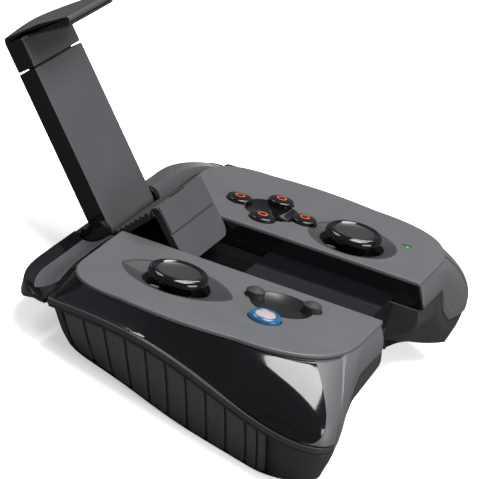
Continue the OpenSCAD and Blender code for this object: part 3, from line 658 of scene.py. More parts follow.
def group_tree(name, kind, inputs, outputs):
    """Empty node group with named sockets, what it is given and its output node."""
    tree = bpy.data.node_groups.new(name, kind)
    for direction, sockets in (("INPUT", inputs), ("OUTPUT", outputs)):
        for socket, value in sockets.items():
            tree.interface.new_socket(name=socket, in_out=direction, socket_type="NodeSocket" + value)
    return tree, tree.nodes.new("NodeGroupInput").outputs, tree.nodes.new("NodeGroupOutput")


def noise(tree, scale, detail, distortion=0.0):
    """Noise in the object's own space."""
    place = new_node(tree, "ShaderNodeTexCoord").outputs["Object"]
    inputs = {"Vector": place, "Scale": scale, "Detail": detail, "Distortion": distortion}
    return new_node(tree, "ShaderNodeTexNoise", inputs).outputs["Fac"]


def grain_group():
    """Fine moulded grain: an uneven colour and a bumpy height."""
    name = "moulded_grain"
    if name in bpy.data.node_groups:
        return bpy.data.node_groups[name]
    tree, given, result = group_tree(
        name, "ShaderNodeTree",
        {"Colour": "Color", "Variation": "Float", "Grain Scale": "Float"},
        {"Colour": "Color", "Height": "Float"},
    )
    grain = noise(tree, given["Grain Scale"], 3.0)
    shift = maths(tree, "SUBTRACT", grain, 0.5)
    spread = maths(tree, "MULTIPLY_ADD", shift, given["Variation"], 1.0)
    tint = new_node(tree, "ShaderNodeVectorMath", {0: given["Colour"], "Scale": spread}, operation="SCALE")
    connect(tree, result, {"Colour": tint.outputs[0], "Height": grain})
    return tree


def smudge_group():
    """Handling marks: roughness that drifts between two values."""
    name = "handling_smudges"
    if name in bpy.data.node_groups:
        return bpy.data.node_groups[name]
    tree, given, result = group_tree(
        name, "ShaderNodeTree", {"Low": "Float", "High": "Float"}, {"Roughness": "Float"}
    )
    cloud = noise(tree, 70.0, 5.0, 0.6)
    inputs = {"Value": cloud, "From Min": 0.35, "From Max": 0.7}
    limits = {"To Min": given["Low"], "To Max": given["High"]}
    spread = new_node(tree, "ShaderNodeMapRange", {**inputs, **limits})
    connect(tree, result, {"Roughness": spread.outputs["Result"]})
    return tree


def new_material(name):
    """Material with its tree and its Principled shader."""
    material = bpy.data.materials.new(name)
    material.use_nodes = True
    return material, material.node_tree, material.node_tree.nodes["Principled BSDF"]


def finish(name, tint, low, high, variation=0.15, grain=2500.0, bump=0.0, bump_size=0.05, coat=0.0):
    """Moulded plastic or rubber with grain, bump and handling marks."""
    if name in bpy.data.materials:
        return bpy.data.materials[name]
    material, tree, shader = new_material(name)
    inputs = {"Colour": (*tint, 1.0), "Variation": variation, "Grain Scale": grain}
    surface = new_node(tree, "ShaderNodeGroup", inputs, node_tree=grain_group()).outputs
    marks = new_node(tree, "ShaderNodeGroup", {"Low": low, "High": high}, node_tree=smudge_group()).outputs
    connect(tree, shader, {"Base Color": surface["Colour"], "Roughness": marks["Roughness"], "IOR": 1.48})
    if bump:
        inputs = {"Height": surface["Height"], "Strength": bump, "Distance": bump_size * MM}
        relief = new_node(tree, "ShaderNodeBump", inputs)
        connect(tree, shader, {"Normal": relief.outputs["Normal"]})
    if coat:
        connect(tree, shader, {"Coat Weight": coat, "Coat Roughness": 0.03})
    return material


def panel_finish(name, tint):
    """Polished black whose middle is drawn steeper, so that it stays dark between its two highlights."""
    if name in bpy.data.materials:
        return bpy.data.materials[name]
    material = finish(name, tint, 0.07, 0.12, 0.05, 900.0, coat=0.3)
    tree = material.node_tree
    place = new_node(tree, "ShaderNodeTexCoord").outputs["Object"]
    split = new_node(tree, "ShaderNodeSeparateXYZ", {0: place}).outputs
    fades = []
    for low, high, most in ((-37.0, -31.0, 0.35), (-6.0, -14.0, 1.0)):
        inputs = {"Value": split["Y"], "From Min": low * MM, "From Max": high * MM, "To Max": most}
        fade = new_node(tree, "ShaderNodeMapRange", inputs, interpolation_type="SMOOTHSTEP")
        fades.append(fade.outputs["Result"])
    amount = maths(tree, "MULTIPLY", *fades)
    sideways = maths(tree, "MULTIPLY", maths(tree, "SIGN", split["X"]), amount)
    downwards = maths(tree, "MULTIPLY", amount, -0.6)
    push = new_node(tree, "ShaderNodeCombineXYZ", {"X": sideways, "Z": downwards}).outputs[0]
    normal = new_node(tree, "ShaderNodeNewGeometry").outputs["Normal"]
    tipped = new_node(tree, "ShaderNodeVectorMath", {0: normal, 1: push}, operation="ADD").outputs[0]
    unit = new_node(tree, "ShaderNodeVectorMath", {0: tipped}, operation="NORMALIZE").outputs[0]
    connect(tree, tree.nodes["Principled BSDF"], {"Normal": unit, "Coat Normal": unit})
    return material


def glowing_finish(name, tint, strength, roughness):
    """Coloured plastic with an emission: translucent plastic lit from behind, and on the orange print of the
    face buttons a painted glow.
    """
    material = finish(name, tint, roughness, roughness + 0.08, 0.1, 900.0)
    shader = material.node_tree.nodes["Principled BSDF"]
    inputs = {"Emission Color": (*tint, 1.0), "Emission Strength": strength}
    connect(material.node_tree, shader, inputs)
    return material


def metal_finish(name, tint, low, high):
    """Plain metal with faint marks."""
    material = finish(name, tint, low, high, 0.08, 1800.0)
    material.node_tree.nodes["Principled BSDF"].inputs["Metallic"].default_value = 1.0
    return material


def finishes(context):
    """All finishes of the controller by name."""
    tints = context.scene.controller_finish
    return SimpleNamespace(
        face=finish("soft_face", tints.face_grey, 0.42, 0.52, 0.35, 3200.0, 0.35, 0.03),
        shell=finish("matt_shell", tints.shell_grey, 0.45, 0.55, 0.3, 2600.0, 0.4, 0.04),
        pad=finish("ribbed_pad", tints.pad_grey, 0.5, 0.6, 0.3, 2600.0, 0.4, 0.04),
        gloss=finish("polished_black", tints.gloss_black, 0.07, 0.12, 0.05, 900.0, coat=0.3),
        panel=panel_finish("polished_panel", tints.gloss_black),
        jaw=finish("satin_edge", tints.jaw_black, 0.22, 0.32, 0.2, 2200.0, 0.15, 0.02),
        front=finish("satin_front", tints.satin_grey, 0.34, 0.44, 0.25, 2400.0, 0.2, 0.02),
        rubber=finish("toothed_rubber", tints.rubber_black, 0.55, 0.7, 0.4, 2600.0, 0.5, 0.06),
        stick=finish("stick_surface", tints.stick_grey, 0.28, 0.4, 0.3, 2400.0, 0.2, 0.03),
        clear=finish("clear_cap", (0.005, 0.004, 0.004), 0.05, 0.1, 0.1, 800.0, coat=0.5),
        rough=finish("rough_dome", tints.rubber_black, 0.6, 0.75, 0.5, 1500.0, 0.9, 0.2),
        # The orange print on the face buttons is no lamp: its emission is a painted glow.
        mark=glowing_finish("orange_mark", tints.mark_orange, 0.15, 0.25),
        ring=glowing_finish("blue_glow", tints.ring_blue, 0.2, 0.08),
        centre=glowing_finish("home_glow", (0.3, 0.24, 0.25), 0.1, 0.2),
        green=glowing_finish("green_glow", tints.light_green, 0.15, 0.1),
        steel=metal_finish("plain_steel", (0.55, 0.55, 0.56), 0.25, 0.4),
    )


# Repeats by geometry nodes


def row_tree():
    """Geometry tree that copies its object along a row and makes the copies real."""
    name = "repeat_in_row"
    if name in bpy.data.node_groups:
        return bpy.data.node_groups[name]
    tree, given, result = group_tree(
        name, "GeometryNodeTree",
        {"Geometry": "Geometry", "Count": "Int", "Step": "Vector"},
        {"Geometry": "Geometry"},
    )
    line = new_node(tree, "GeometryNodeMeshLine", {"Count": given["Count"], "Offset": given["Step"]})
    inputs = {"Points": line.outputs["Mesh"], "Instance": given["Geometry"]}
    copies = new_node(tree, "GeometryNodeInstanceOnPoints", inputs)
    real = new_node(tree, "GeometryNodeRealizeInstances", {"Geometry": copies.outputs["Instances"]})
    connect(tree, result, {"Geometry": real.outputs["Geometry"]})
    return tree


def repeated(obj, count, step):
    """Turns one tooth into a row of them."""
    tree = row_tree()
    copier = obj.modifiers.new("row", "NODES")
    copier.node_group = tree
    values = {"Count": count, "Step": step}
    for item in tree.interface.items_tree:
        if item.in_out == "INPUT" and item.name in values:
            copier[item.identifier] = values[item.name]
    return settled(obj)


def joined(name, parts):
    """Several meshes as one."""
    bm = bmesh.new()
    for part in parts:
        bm.from_mesh(part.data)
        bpy.data.objects.remove(part)
    obj = mesh_object(name, [], [])
    bm.to_mesh(obj.data)
    bm.free()
    return obj


# Places of the controls on the face, in millimetres
STICKS = {"left": (-38.5, 5.3), "right": (32.4, -20.7)}
BUTTON_MIDDLE = (34.0, 3.7)
BUTTONS = {
    "rear_button": (34.0, 13.25),
    "front_button": (34.0, -5.85),
    "inner_button": (25.6, 3.7),
    "outer_button": (42.4, 3.7),
}
MENU_MIDDLE = (-31.0, -21.0)
SELECT = (-30.6, -13.5)
START = (-27.5, -28.2)
HOME = (-43.5, -20.6)
LIGHT = (41.9, -33.7)

# Height of the undersides of the button caps
CAP_BOTTOM = -4.6


def cover_rings(s):
    """Rings of a cover from the middle of its face, down its side and up inside it."""
    rings = []
    for step in range(5):
        a = math.pi / 2 * step / 4
        rings.append(level(inset(s.face, 0.5 * (1 - math.sin(a))), -0.5 * (1 - math.cos(a))))
    rings.append(level(s.face, -s.edge_t))
    below = -s.edge_t - 0.01
    drawn_in = level(inset(s.under, s.panel_t), below)
    rings.append(recessed(level(s.under, below), drawn_in, TRIM_START, PANEL_END))
    for t in [step / 15 for step in range(1, 15)] + [0.99]:
        rings.append(recessed(flared_level(s, t, 0), flared_level(s, t, s.panel_t), TRIM_START, PANEL_END))
    rim_first = len(rings) - 1
    rings.append(cover_level(s, inset(s.rim, 0.15), 0.999))
    rings.append([(x, y, z - 0.2) for x, y, z in cover_level(s, s.rim, 1)])
    rings.append([(x, y, z + 0.3) for x, y, z in rim_level(s, inset(s.rim, 0.1), 0)])
    rings.append(rim_level(s, inset(s.rim, 0.4), 0))
    rings.append(rim_level(s, inset(s.rim, s.cover_wall + 0.3), 0))
    rings.append(flared_level(s, 0.5, s.cover_wall))
    rings.append(level(inset(s.under, s.cover_wall), -s.plate_t))
    return rings, rim_first


def hollow(s, spot, r, depth, material):
    """Cutter for a shallow round dish in the face."""
    ball_r = (r * r + depth * depth) / (2 * depth)
    return ball("hollow", s, (spot[0], spot[1], ball_r - depth), ball_r, material)


def hole(s, spot, r):
    """Cutter for a round hole through the face plate."""
    return lathe("hole", s, spot, [(r, 2.0), (r, -s.plate_t - 2.0)])


class Piece:
    """Run that all operators for pieces share."""

    def execute(self, context):
        self.build(sizes(context), finishes(context))
        return {"FINISHED"}


class CONTROLLER_OT_covers(Piece, bpy.types.Operator):
    """Builds the two soft-touch covers with their dishes and holes."""

    bl_idname = "controller.covers"
    bl_label = "Covers"

    def build(self, s, looks):
        rings, rim_first = cover_rings(s)

        def band(ring, place):
            return 1 if ring >= rim_first and TRIM_START <= place <= PANEL_END else 0

        left = loft("left_cover", s, rings, True, (looks.face, looks.shell), band)
        right = loft("right_cover", s, rings, False, (looks.face, looks.shell), band)
        spot = STICKS["left"]
        half_len = 15.5
        half_w = 11.0
        leaf_r = 60.0
        circle = (half_len * half_len / half_w + half_w) / 2
        z = math.sqrt(leaf_r * leaf_r - circle * circle)
        shift = circle - half_w
        # Painted shade: the left stick's dish takes the darker charcoal of the shell, so that it reads as a
        # recess in the face.
        leaf = ball("leaf", s, (spot[0] - shift, spot[1], z), leaf_r, looks.shell)
        other = ball("leaf_other", s, (spot[0] + shift, spot[1], z), leaf_r, looks.shell)
        carved(leaf, [other], "INTERSECT")
        cuts = [leaf, hollow(s, MENU_MIDDLE, 8.4, 1.3, looks.jaw), hole(s, spot, s.stick_hole_r)]
        for place, r in ((SELECT, s.small_button_r), (START, s.small_button_r), (HOME, s.home_r)):
            cuts.append(hole(s, place, r + GAP))
        carved(left, cuts)
        spot = STICKS["right"]
        cuts = [
            # Painted shade: the right stick's dish takes the darker charcoal of the shell, so that it reads
            # as a recess.
            hollow(s, spot, 12.5, 2.0, looks.shell),
            hollow(s, BUTTON_MIDDLE, 8.0, 1.0, looks.gloss),
            hole(s, spot, s.stick_hole_r),
            hole(s, LIGHT, s.light_r + 0.1),
        ]
        for place in BUTTONS.values():
            cuts.append(hole(s, place, s.button_r + GAP))
        carved(right, cuts)
        for cover, node in ((left, "left_top_cover"), (right, "right_top_cover")):
            placed(shaded(cover), "housing", nodes=[node])


class CONTROLLER_OT_side_panels(Piece, bpy.types.Operator):
    """Builds the polished panels inlaid in the covers' sides and the matt noses in front of them."""

    bl_idname = "controller.side_panels"
    bl_label = "Side panels"

    def build(self, s, looks):
        start = [PANEL_TOP, 0.04, 0.06]
        shares = start + [0.1 + 0.76 * i / 20 for i in range(21)]
        shares += [0.89, 0.91, 0.925, 0.94, 0.953, 0.963, PANEL_LOW]
        depths = [0.35, 0.15, 0.05] + [0.05] * 26 + [0.15, 0.35]
        nose_shares = start + [0.1 + 0.86 * i / 20 for i in range(21)] + [PANEL_LOW]
        corner_shares = [i / 12 for i in range(13)]
        patches = (
            ("_gloss_panel", PANEL_START, PANEL_END, shares, depths),
            ("_nose_front", TRIM_START, PANEL_START, nose_shares, [0.03] * 25),
            ("_nose_corner", PANEL_START, PANEL_ROUND, corner_shares, [0.03] * 13),
        )
        for side in SIDES:
            for kind, first, last, rows, depth in patches:
                patch = self.patch(s, side, kind, range(first, last + 1), rows, depth)
                if kind == "_gloss_panel":
                    placed(patch, "housing", looks.panel, [side + "_side_panel"])
                else:
                    placed(patch, "housing", looks.face)

    def lower_edge(self, column):
        """Share of the side's height that the panel covers, rounded off towards the nose."""
        if column >= PANEL_ROUND:
            return PANEL_LOW
        u = (PANEL_ROUND - column) / (PANEL_ROUND - PANEL_START)
        return mix(0.55, PANEL_LOW, math.sqrt(max(0.0, 1 - u * u)))

    def patch(self, s, side, kind, columns, shares, depths):
        """Curved slab of the side: the panel, the nose in front of it or the corner under it."""
        is_panel = kind == "_gloss_panel"
        outer = []
        inner = []
        for share, depth in zip(shares, depths):
            outer_row = []
            inner_row = []
            for j in columns:
                t = share
                if is_panel:
                    squeeze = (self.lower_edge(j) - PANEL_TOP) / (PANEL_LOW - PANEL_TOP)
                    t = PANEL_TOP + (share - PANEL_TOP) * squeeze
                elif kind == "_nose_corner":
                    t = mix(min(PANEL_LOW - 0.005, self.lower_edge(j) + 0.004), PANEL_LOW, share)
                top = self.spot(s, t, depth, j)
                low = self.spot(s, t, s.panel_t - 0.1, j)
                sunk = 0.0
                if is_panel:
                    flare = smooth((share - 0.88) / 0.07) * smooth((top[1] - 1) / 6)
                    sunk = min(1.0, max(0.0, (share - 0.2) / 0.68)) * (1 - flare)
                    sunk *= 0.8 * smooth((top[1] + 32) / 20)
                outer_row.append(between(top, low, sunk))
                inner_row.append(low)
            outer.append(outer_row)
            inner.append(inner_row)
        return shaded(slab(side + kind, s, outer, inner, side == "left"), 40)

    def spot(self, s, t, depth, j):
        """One point of the flared side."""
        top = outline(inset(s.under, depth))[j]
        low = outline(inset(s.rim, depth))[j]
        return flared_point(s, top, low, t)


class CONTROLLER_OT_bottom_shell(Piece, bpy.types.Operator):
    """Builds the two deep grips, the pan between them with its screw bores, and the trigger pins' lugs."""

    bl_idname = "controller.bottom_shell"
    bl_label = "Bottom shell"

    def build(self, s, looks):
        deep = s.shell_wall + s.pad_t
        to_channel = (s.channel_half - s.cover_inner - 0.3,) + (0.0,) * 10
        step = tuple(a + b for a, b in zip(inset(s.rim, 0.4), to_channel))
        rings = [
            shell_level(s, inset(s.flat, 1), 1, s.shell_wall + 0.2),
            shell_level(s, inset(s.land, 1.2), 1, s.shell_wall + 0.2),
            edge_level(s, inset(s.edge, deep), 1, 1.6),
            shell_level(s, inset(s.waist, deep), 0.5, 0),
            rim_level(s, inset(s.upper, s.shell_wall), 0.15),
            rim_level(s, step, 0.15),
            rim_level(s, inset(step, 0.1), 0.4),
            rim_level(s, s.upper, 0.6),
        ]
        for i in range(17):
            t = 2 * i / 16
            rings.append(recessed(grip_side(s, t, 0), grip_side(s, t, s.pad_t), SIDE_START, SIDE_END))
        for i in range(9):
            t = i / 8
            a = math.pi / 2 * t
            spec = between(s.edge, s.land, mix(t, 1 - math.cos(a), 0.4))
            rings.append(edge_level(s, spec, mix(1 - t, 1 - math.sin(a), 0.4), 0))
        for i in range(1, 9):
            rings.append(shell_level(s, between(s.land, s.flat, i / 8), 1, 0))
        door_half_w = 5.35
        door_half_len = 14.7
        y = -21.2 + s.seat_shift
        for side in SIDES:
            grip = loft(side + "_grip_shell", s, rings, side == "left")
            x = -s.grip_middle if side == "left" else s.grip_middle
            door_gap = row_box(
                "door_gap", x - door_half_w, x + door_half_w, y - door_half_len, y + door_half_len,
                -1, s.shell_wall + 1,
            )
            shaded(carved(grip, [door_gap]))
            placed(grip, "housing", looks.shell, ["bottom_shell"])
        pan_half = s.channel_half + 1.2
        pan = face_box(
            "channel_pan", s, -pan_half, pan_half, s.deck_front, s.face_rear - 8,
            -s.pan_depth, -s.pan_depth + s.pan_t,
        )
        softened(pan, 0.3)
        cuts = []
        for spot in ((-13, -32), (-13, 20), (13, -32), (13, 20)):
            for bore_r, bore_top in ((2.2, 1.1), (1.2, 4)):
                bore = [(bore_r, -s.pan_depth + bore_top), (bore_r, -s.pan_depth - 1)]
                cuts.append(lathe("bore", s, spot, bore))
        placed(shaded(carved(pan, cuts)), "housing", looks.shell)
        starts = [*LUG_STARTS, *(-x - LUG_WIDTH for x in LUG_STARTS)]
        lugs = joined("trigger_lugs", [self.lug(s, x) for x in starts])
        placed(shaded(softened(lugs, 0.2)), "housing", looks.shell)

    def lug(self, s, x):
        """Eye that holds a trigger pin."""
        y = s.face_rear + 2.8
        z = -7.0
        eye_r = 1.9
        root = -s.inner_seam - 0.5
        profile = [(s.face_rear - 3.2, root), (s.face_rear - 3.2, root - 2.6)]
        for i in range(25):
            a = math.radians(-90 + 180 * i / 24)
            profile.append((y + eye_r * math.cos(a), z + eye_r * math.sin(a)))
        profile += [(s.face_rear + 0.3, z + 1.0), (s.face_rear + 0.3, root)]
        vertices = [seated(s, (x + dx, p[0], p[1])) for dx in (0.0, LUG_WIDTH) for p in profile]
        n = len(profile)
        faces = [(j, n + j, n + (j + 1) % n, (j + 1) % n) for j in range(n)]
        faces += [tuple(range(n)), tuple(reversed(range(n, 2 * n)))]
        return righted(mesh_object("lug", vertices, faces))


class CONTROLLER_OT_grip_pads(Piece, bpy.types.Operator):
    """Builds the ribbed pads on the outer sides of the grips."""

    bl_idname = "controller.grip_pads"
    bl_label = "Grip pads"

    def build(self, s, looks):
        ribs = 10
        per_rib = SIDE_STEPS / ribs
        profile = [
            (0.0, 1.0), (0.025, 1.0), (0.045, 0.45), (0.07, 0.12), (0.12, 0.0), (0.3, 0.0), (0.5, 0.0),
            (0.7, 0.0), (0.88, 0.0), (0.93, 0.12), (0.955, 0.45), (0.975, 1.0),
        ]
        narrow = [
            (0.33, 0.0), (0.355, 0.12), (0.375, 0.45), (0.39, 1.0), (0.43, 1.0), (0.45, 0.45), (0.47, 0.12),
        ]
        columns = []
        for rib in range(ribs):
            for share, depth in sorted(profile + narrow) if rib == 0 else profile:
                if rib == 0 and share < 0.05:
                    depth = 0.0
                rounding = abs(2 * share - 1) ** 3
                columns.append((SIDE_START + (rib + share) * per_rib, depth * s.groove_depth, rounding))
        columns.append((SIDE_END, 0.3, 1.0))
        rows = [0.06, 0.09, 0.14] + [0.2 + 1.7 * i / 18 for i in range(19)] + [1.94, 1.965, 1.98]
        edges = [0.5, 0.2, 0.05] + [0.0] * 19 + [0.1, 0.4, 0.9]
        thickness = s.pad_t - 0.1
        shortening = 0.14
        for side in SIDES:
            outer = []
            inner = []
            for t, edge in zip(rows, edges):
                top = grip_side(s, t, 0.0)
                low = grip_side(s, t, thickness)
                short_top = grip_side(s, t - shortening, 0.0)
                short_low = grip_side(s, t - shortening, thickness)
                near_end = smooth((t - 1.6) / 0.38)
                outer_row = []
                inner_row = []
                for u, depth, rounding in columns:
                    drawn = rounding * near_end
                    base = between(self.along(low, u), self.along(short_low, u), drawn)
                    full = between(self.along(top, u), self.along(short_top, u), drawn)
                    share = min(1.0, max(depth, edge) / thickness)
                    outer_row.append(between(full, base, share))
                    inner_row.append(base)
                outer.append(outer_row)
                inner.append(inner_row)
            pad = slab(side + "_ribbed_pad", s, outer, inner, side == "left")
            placed(shaded(pad, 50), "housing", looks.pad, [side + "_grip_pad"])

    def along(self, ring, u):
        """Point between two neighbours of a ring."""
        j = min(int(u), len(ring) - 2)
        return between(ring[j], ring[j + 1], u - j)


class CONTROLLER_OT_channel_deck(Piece, bpy.types.Operator):
    """Builds the polished deck between the grips, with its well, hinge ears and low rear rails."""

    bl_idname = "controller.channel_deck"
    bl_label = "Channel deck"

    def build(self, s, looks):
        dressed("channel_deck", "polished_deck", 0.25, 2, "housing", looks.gloss)
        rail_inner = 17.05
        rail_outer = 17.6
        rear = s.face_rear + 2
        for side in SIDES:
            sign = -1 if side == "left" else 1
            x0, x1 = sorted((sign * rail_inner, sign * rail_outer))
            rail = face_box(side + "_deck_rail", s, x0, x1, rear - 7, rear, -10.8, -7.6)
            placed(shaded(rail), "housing", looks.gloss)


class CONTROLLER_OT_phone_arm(Piece, bpy.types.Operator):
    """Builds the polished arm."""

    bl_idname = "controller.phone_arm"
    bl_label = "Phone arm"

    def build(self, s, looks):
        dressed("phone_arm", "polished_arm", 0.7, 4, "arm", looks.front, looks.gloss)


class CONTROLLER_OT_jaws(Piece, bpy.types.Operator):
    """Builds the sliding upper jaw and the folding lower jaw with their toothed rubber."""

    bl_idname = "controller.jaws"
    bl_label = "Jaws"

    def build(self, s, looks):
        dressed("upper_jaw", "hooked_jaw", 0.6, 3, "upper_jaw", looks.front, looks.gloss)
        dressed("upper_jaw_pad", "upper_teeth", 0.08, 3, "upper_jaw", looks.rubber)
        dressed("lower_jaw_shelf", "jaw_shelf", 0.2, 3, "shelf", looks.jaw)
        dressed("lower_jaw_flap", "jaw_flap", 0.3, 3, "flap", looks.front, looks.jaw)
        half = s.jaw_half - 0.3
        outside = s.barrel_r + 0.04
        brow_end = s.flap_len * 0.42 - 0.05
        brow = self.plate(s, "flap_brow", on_flap, half, outside, outside + 0.2, -1.2, brow_end)
        shaded(softened(brow, 0.08))
        placed(faced(brow, looks.jaw, looks.front), "flap")
        placed(self.lower_teeth(s), "shelf", looks.rubber, ["lower_jaw_pad"])

    def plate(self, s, name, frame_of, half, y0, y1, z0, z1):
        """Flat plate in the frame of the shelf or the flap."""
        corners = box_points(-half, half, y0, y1, z0, z1)
        return mesh_object(name, [seated(s, frame_of(s, p)) for p in corners], BOX_FACES)

    def lower_teeth(self, s):
        """Rubber on the shelf: a thin base with a row of saw teeth across the jaw."""
        half = s.jaw_half - 0.3
        start = 6.2
        end = s.shelf_len - s.barrel_r - 0.6
        count = 7
        pitch = (end - start) / count
        base = s.shelf_top - s.rubber_t
        root = base + 0.2
        strip = self.plate(s, "strip", on_shelf, half, base, root, start, end)
        profile = [(root - 0.05, start), (s.shelf_top, start + pitch / 2), (root - 0.05, start + pitch)]
        vertices = [seated(s, on_shelf(s, (x, y, z))) for x in (-half, half) for y, z in profile]
        faces = [(0, 1, 2), (5, 4, 3), (0, 3, 4, 1), (1, 4, 5, 2), (2, 5, 3, 0)]
        tooth = softened(mesh_object("tooth", vertices, faces), 0.06)
        step = seated(s, on_shelf(s, (0, 0, pitch))) - seated(s, on_shelf(s, (0, 0, 0)))
        teeth = repeated(tooth, count, step)
        return shaded(joined("lower_teeth", [strip, teeth]))


class CONTROLLER_OT_triggers(Piece, bpy.types.Operator):
    """Builds the polished triggers behind the face."""

    bl_idname = "controller.triggers"
    bl_label = "Triggers"

    def build(self, s, looks):
        front = s.face_rear + 0.5
        rear = s.trigger_rear - 0.9
        half = s.trigger_half - 1.0
        pocket_rear = front + 3.9
        pocket_low = -11.0
        pocket_top = -4.7
        bend = 46.0
        rings = []
        for i in range(12):
            x = mix(s.trigger_inner, bend, i / 12)
            rings.append(self.section(s, (x, front), (x, rear)))
        for i in range(33):
            t = i / 32
            a = math.pi / 2 * t
            outer = (bend + (half - bend) * math.sin(a), front + (rear - front) * math.cos(a))
            rings.append(self.section(s, (mix(bend, s.trigger_half - 4, t), front), outer))
        for side in SIDES:
            left = side == "left"
            sign = -1 if left else 1
            # The trough is satin: rougher than the lip, and its lighter grey is a painted reflection of the
            # light from above. On the right trigger it comes nearer to the lip and the outer end
            trough_start = TRIGGER_STEPS // 8
            trough_end = TRIGGER_STEPS * (4 if left else 6) // 7
            trough_rings = 30 if left else len(rings)

            def region(ring, place):
                if place > TRIGGER_STEPS:
                    return 1
                return 2 if ring < trough_rings and trough_start <= place < trough_end else 0

            layers = (looks.gloss, looks.shell, looks.front)
            trigger = righted(loft(side + "_polished_trigger", s, rings, left, layers, region))
            pockets = []
            for x in LUG_STARTS:
                x0, x1 = sorted((sign * (x - GAP), sign * (x + LUG_WIDTH + GAP)))
                pockets.append(face_box("pocket", s, x0, x1, front - 1, pocket_rear, pocket_low, pocket_top))
            shaded(carved(trigger, pockets), 45)
            placed(trigger, side + "_trigger", nodes=[side + "_trigger"])

    def section(self, s, inner, outer):
        """Cross-section of a trigger from its edge beside the face to its lip and back underneath."""
        top = mix(-s.edge_t - 0.1, -s.seam_rear, smooth((inner[0] - 44) / 20))
        upper = [
            (0.0, 0.0), (0.12, 0.12), (0.3, 0.6), (0.5, 0.95),
            (0.72, 1.0), (0.86, 0.78), (0.95, 0.62), (1.0, 0.8),
        ]
        points = []
        for i in range(TRIGGER_STEPS + 1):
            share, fall = through(upper, (len(upper) - 1) * i / TRIGGER_STEPS)
            points.append((share, mix(top, -5.1, fall)))
        lift = 3.2 * smooth((inner[0] - 54) / 9)
        lower = [(1.0, -7.6), (0.985, -8.2), (0.94, -8.75), (0.8, -8.95), (0.2, -9.5), (0.03, -9.5)]
        points += [(share, z + lift) for share, z in lower]
        return [(mix(inner[0], outer[0], f), mix(inner[1], outer[1], f), z) for f, z in points]


def dome(r, proud, ball_r, bottom, fillet=0.35):
    """Profile of a domed cap from the top of its axis down its side to its underside."""
    drop = ball_r - math.sqrt(ball_r * ball_r - (r - fillet) ** 2)
    points = []
    for i in range(13):
        q = (r - fillet) * i / 12
        points.append((q, proud - (ball_r - math.sqrt(ball_r * ball_r - q * q))))
    for i in range(1, 6):
        a = math.pi / 2 * i / 5
        points.append((r - fillet + fillet * math.sin(a), proud - drop - fillet * (1 - math.cos(a))))
    points += [(r, bottom), (0.0, bottom)]
    return points


class CONTROLLER_OT_buttons(Piece, bpy.types.Operator):
    """Builds the face buttons with their rings, the small buttons, the home button and the status light."""

    bl_idname = "controller.buttons"
    bl_label = "Buttons"

    def build(self, s, looks):
        inlay = [(1.0, 1.37), (1.1, 1.4), (1.3, 1.4), (1.4, 1.36), (1.38, 1.2), (1.02, 1.2)]
        for node, spot in BUTTONS.items():
            cap = lathe(node + "_cap", s, spot, dome(s.button_r, 1.4, 12.0, CAP_BOTTOM))
            placed(shaded(cap), node, looks.clear, [node])
            # The orange print ring on each cap carries a painted glow.
            mark = self.turned_ring(s, node + "_mark", spot, inlay)
            placed(shaded(mark), node, looks.mark)
        for node, spot in (("select_button", SELECT), ("start_button", START)):
            cap = lathe(node + "_cap", s, spot, dome(s.small_button_r, 2.4, 3.4, CAP_BOTTOM, 0.3))
            placed(shaded(cap), node, looks.rough, [node])
        centre = lathe("home_centre", s, HOME, dome(s.home_r - 1.5, 1.5, 14.0, CAP_BOTTOM, 0.3))
        placed(shaded(centre), "home_button", looks.centre, ["home_button"])
        r = s.home_r
        profile = [(r - 1.4, 1.1), (r - 1.2, 1.3), (r - 0.7, 1.3), (r - 0.25, 1.0)]
        profile += [(r, 0.5), (r, -3.0), (r - 1.4, -3.0)]
        ring = self.turned_ring(s, "home_ring", HOME, profile)
        placed(shaded(ring), "home_button", looks.ring, ["home_button_ring"])
        light = lathe("status_lens", s, LIGHT, dome(s.light_r, 0.2, 3.0, -8.4, 0.2))
        placed(shaded(light), "housing", looks.green, ["status_light"])

    def turned_ring(self, s, name, spot, profile):
        """Turned ring with a closed profile."""
        steps = 72
        n = len(profile)
        vertices = []
        faces = []
        for i in range(steps):
            a = 2 * math.pi * i / steps
            k = (i + 1) % steps
            for j, (r, z) in enumerate(profile):
                vertices.append(seated(s, (spot[0] + r * math.cos(a), spot[1] + r * math.sin(a), z)))
                m = (j + 1) % n
                faces.append((i * n + j, i * n + m, k * n + m, k * n + j))
        return righted(mesh_object(name, vertices, faces))


class CONTROLLER_OT_sticks(Piece, bpy.types.Operator):
    """Builds the two low sliding sticks."""

    bl_idname = "controller.sticks"
    bl_label = "Sticks"

    def build(self, s, looks):
        r = s.stick_cap_r
        stem = s.stick_stem_r
        profile = [
            (0.0, 2.2), (2.0, 2.21), (4.0, 2.28), (r - 3.0, 2.4), (r - 2.4, 2.62), (r - 1.9, 2.86),
            (r - 1.5, 2.97), (r - 1.1, 2.95), (r - 0.6, 2.7), (r - 0.25, 2.3), (r - 0.05, 1.85), (r, 1.45),
            (r - 0.1, 1.1), (r - 0.5, 0.8), (r - 1.1, 0.5), (stem + 1.2, -0.45),
            (stem + 0.8, -0.5), (stem, -0.52), (stem, -7.0), (0.0, -7.0),
        ]

        def band(ring, place):
            return 0 if ring < 4 else 1

        for side, spot in STICKS.items():
            cap = lathe(side + "_stick_pad", s, spot, profile, 96, (looks.stick, looks.gloss), band)
            placed(shaded(cap, 40), side + "_stick", nodes=[side + "_stick_cap"])


class CONTROLLER_OT_doors(Piece, bpy.types.Operator):
    """Builds the battery doors."""

    bl_idname = "controller.doors"
    bl_label = "Battery doors"

    def build(self, s, looks):
        for side in SIDES:
            node = side + "_battery_door"
            dressed(node, side + "_door", 0.15, 2, "housing", looks.shell)


